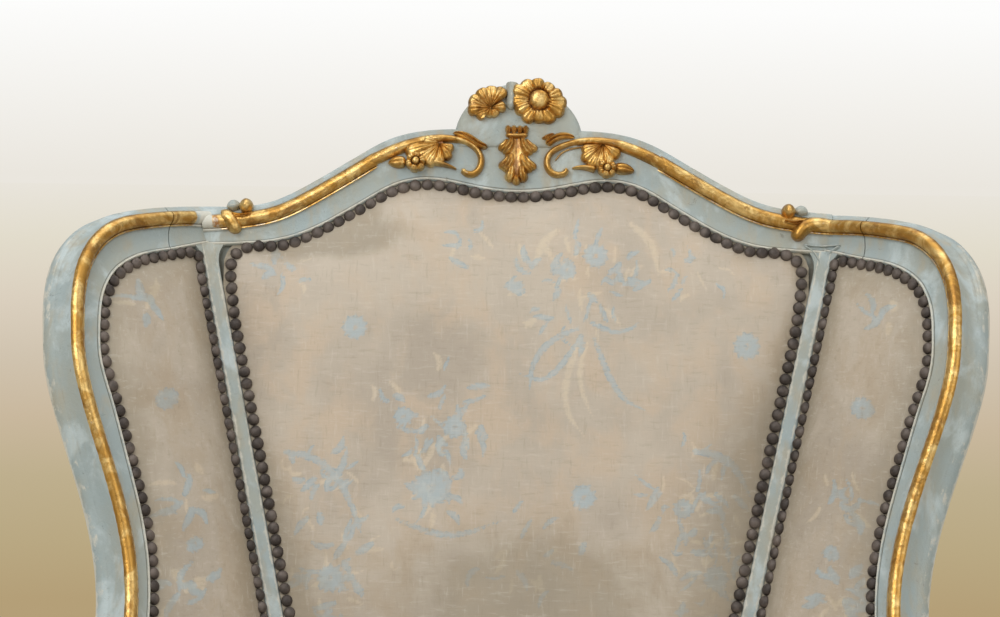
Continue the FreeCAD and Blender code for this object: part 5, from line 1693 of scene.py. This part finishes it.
@dataclass
class SeatFrame:
    """Serpentine front rail, bowed side rails and cabriole front legs."""

    finishes: Finishes
    top: float = SEAT_TOP
    front_inside_y: float = -300.0
    side_thickness: float = 44.0
    wrap: float = 34.0

    FACE = [(-300, -338), (-200, -342), (-100, -356), (0, -362), (100, -356), (200, -342), (300, -338)]
    APRON = [(-300, 252), (-180, 266), (-70, 256), (0, 243), (70, 256), (180, 266), (300, 252)]
    SIDE_LINE = [(188, 205), (246, 75), (288, -62), (310, -190), (318, -309)]
    SIDE_APRON = [(260, 252), (120, 262), (-40, 266), (-190, 262), (-350, 252)]
    LEG = [(320.4, 0, 30, .97), (285, 2, 30.5, .97), (252, 6, 29, .93), (215, 6, 25, .88), (165, -1, 19, .82),
           (110, -9, 15, .80), (65, -11, 14, .80), (34, -6, 17, .80), (14, 1, 20, .80), (0, 3, 17, .80)]
    LEG_CENTRE = (316.0, -318.0)

    def build(self) -> None:
        """Sweep the rails, turn the knees and carve the shell and knee leaves."""
        front = self.longer(smooth_line([(x, y, 0) for x, y in self.FACE], 120, 2))
        apron = smooth_line(self.APRON, 400, 2)
        low = np.interp(front[:, 0], apron[:, 0], apron[:, 1])
        rail = self.rail(front, -plan_normals(front, 1), low, self.front_inside_y - front[:, 1])
        self.finishes.wood("front_rail_moulding", Shell.joined([rail, *self.shell(front)]),
                           "seat_front_rail", crease=45)
        for side in Side:
            line = self.longer(smooth_line([(x, y, 0) for x, y in self.SIDE_LINE], 90, 2))
            curve = smooth_line(self.SIDE_APRON[::-1], 300, 2)
            out = plan_normals(line)
            foot = np.interp(line[:, 1], curve[:, 0], curve[:, 1])
            thick = np.full(len(line), self.side_thickness)
            shell = self.rail(line + out * self.side_thickness / 2, out, foot, thick).mirrored(side)
            self.finishes.wood(f"side_rail_moulding_{side.tag}", shell, f"seat_side_rail_{side.tag}", crease=45)
            leg = Shell.joined([self.leg(), *self.knee()]).mirrored(side)
            self.finishes.wood(f"cabriole_leg_{side.tag}", leg, f"front_leg_{side.tag}", crease=60)

    @staticmethod
    def longer(line: Array, spare: float = 12.0) -> Array:
        """The line run on straight at both ends, into what carries it."""
        first, last = unit(line[0] - line[1]), unit(line[-1] - line[-2])
        return np.concatenate([[line[0] + first * spare], line, [line[-1] + last * spare]])

    def rail(self, line: Array, out: Array, low: Array, thick: Array) -> Shell:
        """Rail with a flat face, a cove and a gilt bead along its shaped lower edge.

        Args:
            line: The rail's face in plan.
            out: Unit vectors away from the seat.
            low: Height of the lower edge.
            thick: Thickness of the rail.

        Returns:
            The rail.
        """
        top = self.top + 0 * low
        corners = [(-1.4, top), (-0.4, top - 1.2), (0.0, top - 4.0)]
        corners += [(recess, low + rise) for recess, rise in (
            (0.0, 46.0), (-0.6, 24.0), (-1.8, 16.0), (-2.2, 13.0), (-1.6, 11.8))]
        corners += [(-1.4 + 5.0 * math.cos(a), low + 6.4 + 5.0 * math.sin(a))
                    for a in np.radians(np.linspace(80, -80, 9))]
        corners += [(-1.0, low + 0.4), (-4.0, low), (-thick[:, None], low), (-thick[:, None], top)]
        sections = np.stack([line + out * c + UP * height[:, None] for c, height in corners], 1)
        gilt = np.r_[np.zeros(8), np.ones(9), 0.6, 0, 0, 0]
        hollow, edge = np.zeros(len(corners)), np.zeros(len(corners))
        hollow[5:8] = (0.5, 1.0, 0.8)
        edge[0:2], edge[10:15] = 0.8, 0.5
        return loft(sections, {"gilt": gilt, "hollow": hollow, "edge": edge})

    def shell(self, front: Array) -> list[Shell]:
        """Carved shell in the middle of the front rail, with a leafy stem each side."""
        def place(x: Array, z: Array, out: Array) -> Array:
            """Points in front of the rail's face."""
            return np.stack([x, np.interp(x, front[:, 0], front[:, 1]) - out, z], -1)
        strokes = []
        for a in np.radians(90 + 24 * np.arange(-3, 4)):
            c, s = math.cos(a), math.sin(a)
            strokes.append(finger(5 * c, 262 + 5 * s, 26 * c, 264 + 24 * s, 4.6, 0.2, 6.5))
        for s in (-1, 1):
            stem = ((8, 259, 3.2, 6), (22, 262, 3.6, 7), (40, 270, 3.2, 6.5), (58, 272, 2.6, 5.5),
                    (72, 267, 2.0, 4.5), (74, 262, 1.8, 5))
            strokes.append(Stroke(tuple((s * x, *rest) for x, *rest in stem), 0.2, (3, 2)))
            strokes.append(finger(s * 44, 273, s * 58, 284, 3.4, 0.25, 5.5))
        strokes.append(Stroke(((-6, 260, 5, 8), (0, 260, 6, 9.5), (6, 260, 5, 8)), ends=(4.5, 4.5)))
        return [stroke.shell(place) for stroke in strokes]

    def leg(self) -> Shell:
        """Cabriole leg along the outward diagonal, with a slim ankle and scrolled toe."""
        rows = smooth_line([(0, out, z, half, corner) for z, out, half, corner in self.LEG], 90, 3)
        _, out, z, half, corner = (column[:, None] for column in rows.T)
        angles = np.linspace(0, 2 * math.pi, 40, endpoint=False)
        power = 2 + 5.5 * np.clip((corner - 0.8) / 0.17, 0, 1)
        squared = (np.abs(np.cos(angles)) ** power + np.abs(np.sin(angles)) ** power) ** (-1 / power)
        shift, radius = out / math.sqrt(2), half * 0.96 * squared
        z = z + 0 * angles
        x, y = self.LEG_CENTRE
        points = np.stack([x + shift + radius * np.cos(angles), y - shift + radius * np.sin(angles), z], -1)
        toe = np.clip((16 - z) / 6, 0, 1)
        return loft(points, {"gilt": toe, "edge": np.clip((30 - z) / 30, 0, 1) * 0.8, "hollow": 0.1 + toe * 0})

    def knee(self) -> list[Shell]:
        """Leaf carved on the knee, folded over the outward corner."""
        table = smooth_line([(0, out, z, half) for z, out, half, _ in self.LEG], 200, 3)[::-1]

        def place(x: Array, z: Array, out: Array) -> Array:
            """Wraps x round the leg's outward diagonal."""
            shift = np.interp(z, table[:, 2], table[:, 1]) / math.sqrt(2)
            turn = -math.pi / 4 + x / self.wrap
            radius = np.interp(z, table[:, 2], table[:, 3]) * 1.06 + out + 1.6
            return np.stack([self.LEG_CENTRE[0] + shift + radius * np.cos(turn),
                             self.LEG_CENTRE[1] - shift + radius * np.sin(turn), z], -1)
        strokes = [Stroke(((0, 292, 4.5, 3.5), (0, 262, 6.5, 4.5), (0, 222, 5.0, 3.6), (0, 196, 2.4, 2.4)),
                          0.3, (4, 8), base=-4)]
        strokes += [finger(s * 3, z, s * 15, z - 13, 4.2, 0.25, 3.6, -0.15 * s, base=-5.0)
                    for s in (-1, 1) for z in (284, 262, 240)]
        return [stroke.shell(place) for stroke in strokes]


def read_points(mesh: bpy.types.Mesh) -> Array:
    """Vertex places of a mesh in metres."""
    places = np.empty(len(mesh.vertices) * 3)
    mesh.vertices.foreach_get("co", places)
    return places.reshape(-1, 3)


@dataclass
class Seat:
    """Sprung deck under hide and the loose feather cushion."""

    finishes: Finishes
    low: float = 336.2
    voxel_mm: float = 6.0
    cloth_frames: int = 16
    pressure: float = 3.0
    stiffness: float = 25.0

    CENTRE = np.array([0, -86.0])
    ROWS = [(0, 16), (7, 4), (20, 0), (59, 4), (98, 0), (111, 4), (118, 16), (124, 44), (127, 80), (128, 130)]
    DECK_CENTRE = np.array([0, -80.0])
    DECK_GAP = 0.012
    DECK_SIDE = [(186, 188), (244, 72), (286, -62), (308, -188), (308, -290)]
    DECK_FRONT = [(302, -320), (280, -324), (186, -327), (93, -340), (0, -346)]

    def outline(self, inset: float, count: int = 120) -> Array:
        """Plan of the cushion with bowed edges and rounded corners."""
        corners = np.array([(-162, 164), (162, 164), (298, -336), (-298, -336)], float)
        ring = []
        for a, b, bow in zip(corners, np.roll(corners, -1, 0), (6, 28, 14, 28)):
            t = np.linspace(0.05, 0.95, count // 4)[:, None]
            step = unit(b - a)
            square = np.array([-step[1], step[0]])
            square = square if square @ ((a + b) / 2 - self.CENTRE) > 0 else -square
            ring.append(a + (b - a) * t + square * bow * np.sin(math.pi * t))
        ring = np.concatenate(ring)
        for _ in range(3):
            ring = (np.roll(ring, 1, 0) + 2 * ring + np.roll(ring, -1, 0)) / 4
        away = ring - self.CENTRE
        return self.CENTRE + away * (1 - inset / np.linalg.norm(away, axis=1, keepdims=True))

    def build(self) -> None:
        """Make the deck, then swell the cushion and lay piping on its seams."""
        self.deck()
        self.cushion()

    def deck(self) -> None:
        """Low crowned seat deck inside the rails."""
        half = np.concatenate([smooth_line(self.DECK_SIDE, 60, 2), smooth_line(self.DECK_FRONT, 30, 2)])
        ring = np.concatenate([half, half[-2::-1] * np.array([-1, 1])])
        rings, rim_shades = [], []
        # painted shade: darkest at the rim beside the rails, none in the middle
        for scale, z, rim_shade in ((1.0, 321.2, 1.0), (1.0, 326, 0.6), (0.985, 330, 0.3), (0.95, 332.6, 0.1),
                               (0.8, 334, 0), (0.5, 334.4, 0), (0.02, 334.5, 0)):
            spot = self.DECK_CENTRE + (ring - self.DECK_CENTRE) * (scale - self.DECK_GAP)
            rings.append(np.column_stack([spot, np.full(len(ring), z)]))
            rim_shades.append([rim_shade])
        rim_shade = np.array(rim_shades)
        piece = self.finishes.leather(
            "seat_deck_hide", Slot.PLAIN, loft(np.array(rings), {"stain": rim_shade * 0.7, "hollow": rim_shade}),
            "seat_deck_cover", "seat_stuffing")

    def cushion(self) -> None:
        """Boxed cushion: cloth swells between the seams, then piping follows them."""
        heights = [self.low + rise + (1.5 if rise < 60 else -4) for rise, _ in self.ROWS]
        rings = [np.column_stack([self.outline(inset + 3.0), np.full(120, height)])
                 for height, (_, inset) in zip(heights, self.ROWS)]
        shell = loft(np.array(rings))
        mesh = bpy.data.meshes.new("cushion_hide")
        mesh.from_pydata((shell.points * MM).tolist(), [], shell.faces)
        piece = bpy.data.objects.new("cushion_hide", mesh)
        bpy.context.scene.collection.objects.link(piece)
        self.swell(piece)
        work = bmesh.new()
        work.from_mesh(piece.data)
        bmesh.ops.recalc_face_normals(work, faces=work.faces)
        work.to_mesh(piece.data)
        work.free()
        piece.data.materials.append(self.finishes.hide)
        piece.data.shade_smooth()
        self.mark(piece.data)
        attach(piece, "cushion")
        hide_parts("cushion_cover", "cushion_pad")
        LOG.info("cushion_hide: %d faces", len(piece.data.polygons))
        self.piping(read_points(piece.data) / MM)

    def swell(self, piece: bpy.types.Object) -> None:
        """Remesh, inflate as cloth, cap the movement and apply the result."""
        remesh = piece.modifiers.new("remesh", "REMESH")
        remesh.mode, remesh.voxel_size = "VOXEL", self.voxel_mm * MM
        self.settle(piece)
        before = read_points(piece.data)
        cloth = piece.modifiers.new("cloth", "CLOTH")
        cloth.settings.use_pressure = True
        cloth.settings.uniform_pressure_force = self.pressure
        cloth.settings.quality = 5
        cloth.settings.tension_stiffness = cloth.settings.compression_stiffness = self.stiffness
        cloth.settings.bending_stiffness = 1.0
        cloth.settings.effector_weights.gravity = 0
        cloth.point_cache.frame_start, cloth.point_cache.frame_end = 1, self.cloth_frames
        for index in range(1, self.cloth_frames + 1):
            bpy.context.scene.frame_set(index)
        self.settle(piece)
        bpy.context.scene.frame_set(1)
        move = read_points(piece.data) - before
        length = np.linalg.norm(move, axis=1, keepdims=True)
        z = before[:, 2:] / MM - self.low
        # the top may rise most, the sides less, the bottom hardly at all
        cap = np.where(z > 100, 10.0, np.where(z < 20, 1.0, 5.0)) * MM
        after = before + move * np.minimum(1, cap / np.maximum(length, 1e-9))
        after[:, 2] = np.maximum(after[:, 2], self.low * MM)
        piece.data.vertices.foreach_set("co", after.ravel())
        piece.data.update()

    @staticmethod
    def settle(piece: bpy.types.Object) -> None:
        """Replace the mesh by its evaluated one and drop the modifiers."""
        view = piece.evaluated_get(bpy.context.evaluated_depsgraph_get())
        fresh = bpy.data.meshes.new_from_object(view)
        piece.modifiers.clear()
        piece.data = fresh

    def mark(self, mesh: bpy.types.Mesh) -> None:
        """Lay faded flowers on the cushion's top."""
        points = read_points(mesh) / MM
        top = np.clip((points[:, 2] - self.low - 100) / 15, 0, 1)
        x, y = points[:, 0], points[:, 1]
        blue, cream = flower_marks(x, y, [(-90, -40, 17, 0.2), (-60, -70, 13, 0.5), (110, -160, 16, 0.1),
                                          (130, -120, 12, 0.7), (0, 60, 15, 0.3), (-150, -220, 14, 0.5),
                                          (40, -250, 13, 0.2), (190, -240, 12, 0.4)])
        stem = stroke_marks(x, y, [([(-90, -40), (-30, -10), (0, 60)], 4.5),
                                   ([(110, -160), (60, -200), (40, -250)], 4.5),
                                   ([(-90, -40), (-130, -120), (-150, -220)], 4.5)])
        # painted shade: sides darker than the top, darkest low down where it sits on the deck
        values = {"blue": np.maximum(blue, stem * 0.7) * top, "cream": cream * top, "stain": 0.25 * (1 - top),
                  "hollow": np.exp(-(points[:, 2] - self.low) / 12)}
        for key, value in values.items():
            mesh.attributes.new(key, "FLOAT", "POINT").data.foreach_set("value", value.astype(np.float32))

    def piping(self, points: Array) -> None:
        """Round welts along the upper and lower seams, laid on the swollen form."""
        shells = []
        away = self.outline(0.0, 240) - self.CENTRE
        way = np.arctan2(away[:, 1], away[:, 0])
        out = np.column_stack([np.cos(way), np.sin(way), 0 * way])
        turn = np.linspace(0, 2 * math.pi, 8, endpoint=False)[:, None]
        for rise in (112.0, 9.0):
            near = points[np.abs(points[:, 2] - self.low - rise) < 9, :2] - self.CENTRE
            angle, radius = np.arctan2(near[:, 1], near[:, 0]), np.hypot(*near.T)
            reach = np.array([radius[np.abs(np.angle(np.exp(1j * (angle - w)))) < 0.05].max(initial=0)
                              for w in way])
            for _ in range(4):
                reach = (np.roll(reach, 1) + 2 * reach + np.roll(reach, -1)) / 4
            line = vec(*self.CENTRE, self.low + rise) + out * reach[:, None]
            tube = line[:, None] + 3.0 * (out[:, None] * np.cos(turn) + UP * np.sin(turn))
            shells.append(loft(tube, {"stain": np.full(8, 0.3), "hollow": np.full(8, 0.25)}, closed=True))
        make_piece("cushion_piping", Shell.joined(shells), self.finishes.hide, Slot.HIDE, "cushion", crease=80)


@dataclass
class HiddenWork:
    """Finishes for the timbers and cloths that stay as the model has them."""

    finishes: Finishes

    def build(self) -> None:
        """Dress every node that nothing replaces."""
        f, sides = self.finishes, [side.tag for side in Side]
        wanted = {"back_webbing": f.webbing, "seat_webbing": f.webbing, "back_hessian": f.hessian,
                  "seat_hessian": f.hessian, "seat_back_rail": f.beech, "back_lower_rail": f.beech,
                  "corner_blocks": f.beech} | {f"{place}_hessian_{tag}": f.hessian
                                               for place in ("wing", "side") for tag in sides}
        for piece in bpy.data.objects:
            finish = wanted.get(piece.name.split(".")[0])
            if piece.type == "MESH" and finish:
                piece.data.materials.clear()
                piece.data.materials.append(finish)
        LOG.info("hidden work: %d nodes dressed", len(wanted))


@dataclass
class NailRows:
    """Close rows of domed nails set by geometry nodes along the cover edges."""

    finishes: Finishes
    head: float = 5.15
    rise: float = 0.72
    seed: int = 7
    replaced: int = 141

    def tree(self) -> bpy.types.NodeTree:
        """Node group that turns marked lines into nail heads.

        Returns:
            The group, with inputs Pitch, Head, Rise, Seed and Bright.
        """
        group = bpy.data.node_groups.new("nail_row", "GeometryNodeTree")
        face = group.interface
        face.new_socket("Line", in_out="INPUT", socket_type="NodeSocketGeometry")
        for name, kind in (("Pitch", "Float"), ("Head", "Float"), ("Rise", "Float"), ("Seed", "Int"),
                           ("Bright", "Int")):
            face.new_socket(name, in_out="INPUT", socket_type="NodeSocket" + kind)
        face.new_socket("Nails", in_out="OUTPUT", socket_type="NodeSocketGeometry")
        given = node(group, "NodeGroupInput").outputs
        add = partial(output, group)
        line = add("GeometryNodeMeshToCurve", {"Mesh": given["Line"]})
        line = add("GeometryNodeResampleCurve", {"Curve": line, "Length": given["Pitch"]}, mode="LENGTH")
        # mark the one nail that was replaced later
        chosen = add("FunctionNodeCompare", {2: add("GeometryNodeInputIndex"), 3: given["Bright"]},
                     data_type="INT", operation="EQUAL")
        line = add("GeometryNodeStoreNamedAttribute", {"Geometry": line, "Name": "bright", "Value": chosen},
                   data_type="FLOAT", domain="POINT")
        # a dome: the ball cut below its middle and flattened
        ball = add("GeometryNodeMeshUVSphere", {"Segments": 14, "Rings": 10, "Radius": given["Head"]})
        height = add("ShaderNodeSeparateXYZ", {0: add("GeometryNodeInputPosition")}, "Z")
        floor = add("ShaderNodeMath", {0: given["Head"], 1: -0.35}, operation="MULTIPLY")
        below = add("FunctionNodeCompare", {0: height, 1: floor}, operation="LESS_THAN")
        dome = add("GeometryNodeDeleteGeometry", {"Geometry": ball, "Selection": below})
        flat = add("ShaderNodeCombineXYZ", {"X": 1.0, "Y": 1.0, "Z": given["Rise"]})
        dome = add("GeometryNodeTransform", {"Geometry": dome, "Scale": flat})
        # each head square to the face, a little tilted and uneven
        facing = add("GeometryNodeInputNamedAttribute", {"Name": "facing"}, data_type="FLOAT_VECTOR")
        turn = add("FunctionNodeAlignRotationToVector", {"Vector": facing}, axis="Z")
        tilt = add("FunctionNodeRandomValue", {0: (-0.09, -0.09, -3.0), 1: (0.09, 0.09, 3.0),
                                               "Seed": given["Seed"]}, data_type="FLOAT_VECTOR")
        tilt = add("FunctionNodeEulerToRotation", {0: tilt})
        turn = add("FunctionNodeRotateRotation", {0: turn, 1: tilt}, rotation_space="LOCAL")
        size = add("FunctionNodeRandomValue", {0: (0.93, 0.93, 0.85), 1: (1.03, 1.03, 1.08),
                                               "Seed": given["Seed"]}, data_type="FLOAT_VECTOR")
        heads = add("GeometryNodeInstanceOnPoints", {"Points": line, "Instance": dome, "Rotation": turn,
                                                     "Scale": size})
        heads = add("GeometryNodeSetShadeSmooth", {"Geometry": add("GeometryNodeRealizeInstances", {
            "Geometry": heads})})
        dressed = add("GeometryNodeSetMaterial", {"Geometry": heads, "Material": self.finishes.nail})
        node(group, "NodeGroupOutput", {}, {0: dressed})
        return group

    def row(self, name: str, group: bpy.types.NodeTree, lines: list[tuple[Array, Array]],
            bright: int = -1) -> None:
        """Set one piece's nails.

        Args:
            name: Piece name.
            group: The nail tree.
            lines: Points in millimetres and facing vectors of each line.
            bright: Number of the nail that was replaced, or -1.
        """
        points = np.concatenate([line for line, _ in lines])
        facing = np.concatenate([np.broadcast_to(way, line.shape) for line, way in lines])
        starts = np.cumsum([0] + [len(line) for line, _ in lines])
        edges = [(int(i), int(i) + 1) for start, (line, _) in zip(starts, lines)
                 for i in range(start, start + len(line) - 1)]
        mesh = bpy.data.meshes.new(name + "_line")
        mesh.from_pydata((points * MM).tolist(), edges, [])
        mesh.attributes.new("facing", "FLOAT_VECTOR", "POINT").data.foreach_set(
            "vector", facing.astype(np.float32).ravel())
        carrier = bpy.data.objects.new(name + "_line", mesh)
        bpy.context.scene.collection.objects.link(carrier)
        modifier = carrier.modifiers.new("nails", "NODES")
        modifier.node_group = group
        wanted = {"Pitch": PITCH * MM, "Head": self.head * MM, "Rise": self.rise, "Seed": self.seed,
                  "Bright": bright}
        for item in group.interface.items_tree:
            if item.in_out == "INPUT" and item.name in wanted:
                modifier[item.identifier] = wanted[item.name]
        view = carrier.evaluated_get(bpy.context.evaluated_depsgraph_get())
        heads = bpy.data.meshes.new_from_object(view)
        bpy.data.objects.remove(carrier)
        piece = bpy.data.objects.new(name, heads)
        bpy.context.scene.collection.objects.link(piece)
        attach(piece, "chair")
        LOG.info("%s: %d faces", name, len(heads.polygons))

    def build(self) -> None:
        """Nail the back and the wings."""
        group = self.tree()
        half = [(0, 984.8)] + [(a, b) for a, b, _, _ in CREST_STATIONS[1:-1]] + [
            (236, 934), (239.7, 925), (239.2, 912), (235.8, 884), (228, 845), (205, 739), (186, 650)]
        z = np.linspace(640, 360, 30)
        right = smooth_line(half, 300, 2)
        right = np.concatenate([right[:-1], np.stack([stile_x(z) - NAIL_INSET, z], 1)])
        ring = np.concatenate([right[:0:-1] * np.array([-1, 1]), right])
        self.row("back_nails", group, [(back_point(ring[:, 0], ring[:, 1], -0.6), BACK_NORMAL)],
                 self.replaced)
        for side in Side:
            self.wing(group, side)

    def wing(self, group: bpy.types.NodeTree, side: Side) -> None:
        """Nail one wing: up the stile, over the top and down the upright."""
        z = np.linspace(606, 918, 30)
        inner = np.stack([STILE_FOOT_X + STILE_SLOPE * z + NAIL_INSET * math.cos(TURN), z], 1)
        head = [(a, b) for a, b, *_ in WING_STATIONS[2:-1]]
        line = np.concatenate([inner[:-2], smooth_line([*inner[-2:], (267, 934)] + head, 300, 2)])
        flip = vec(side.value, 1, 1)
        self.row(f"wing_nails_{side.tag}", group,
                 [(wing_point(line[:, 0], line[:, 1], -0.6) * flip, WING_NORMAL * flip)])


def main() -> None:
    """Build every sub-assembly in order."""
    logging.basicConfig(level=logging.INFO, format="%(message)s")
    finishes = Finishes()
    Studio().build()
    CrestRail(finishes).build()
    for side in Side:
        WingFrame(finishes, side).build()
        Stile(finishes, side).build()
        WingPanel(finishes, side).build()
        ShoulderCarving(finishes, side).build()
        Arm(finishes, side).build()
        SidePanel(finishes, side).build()
    CrestCarving(finishes).build()
    BackPanel(finishes).build()
    OutsideCovers(finishes).build()
    SeatFrame(finishes).build()
    Seat(finishes).build()
    HiddenWork(finishes).build()
    NailRows(finishes).build()


if __name__ == "__main__":
    main()
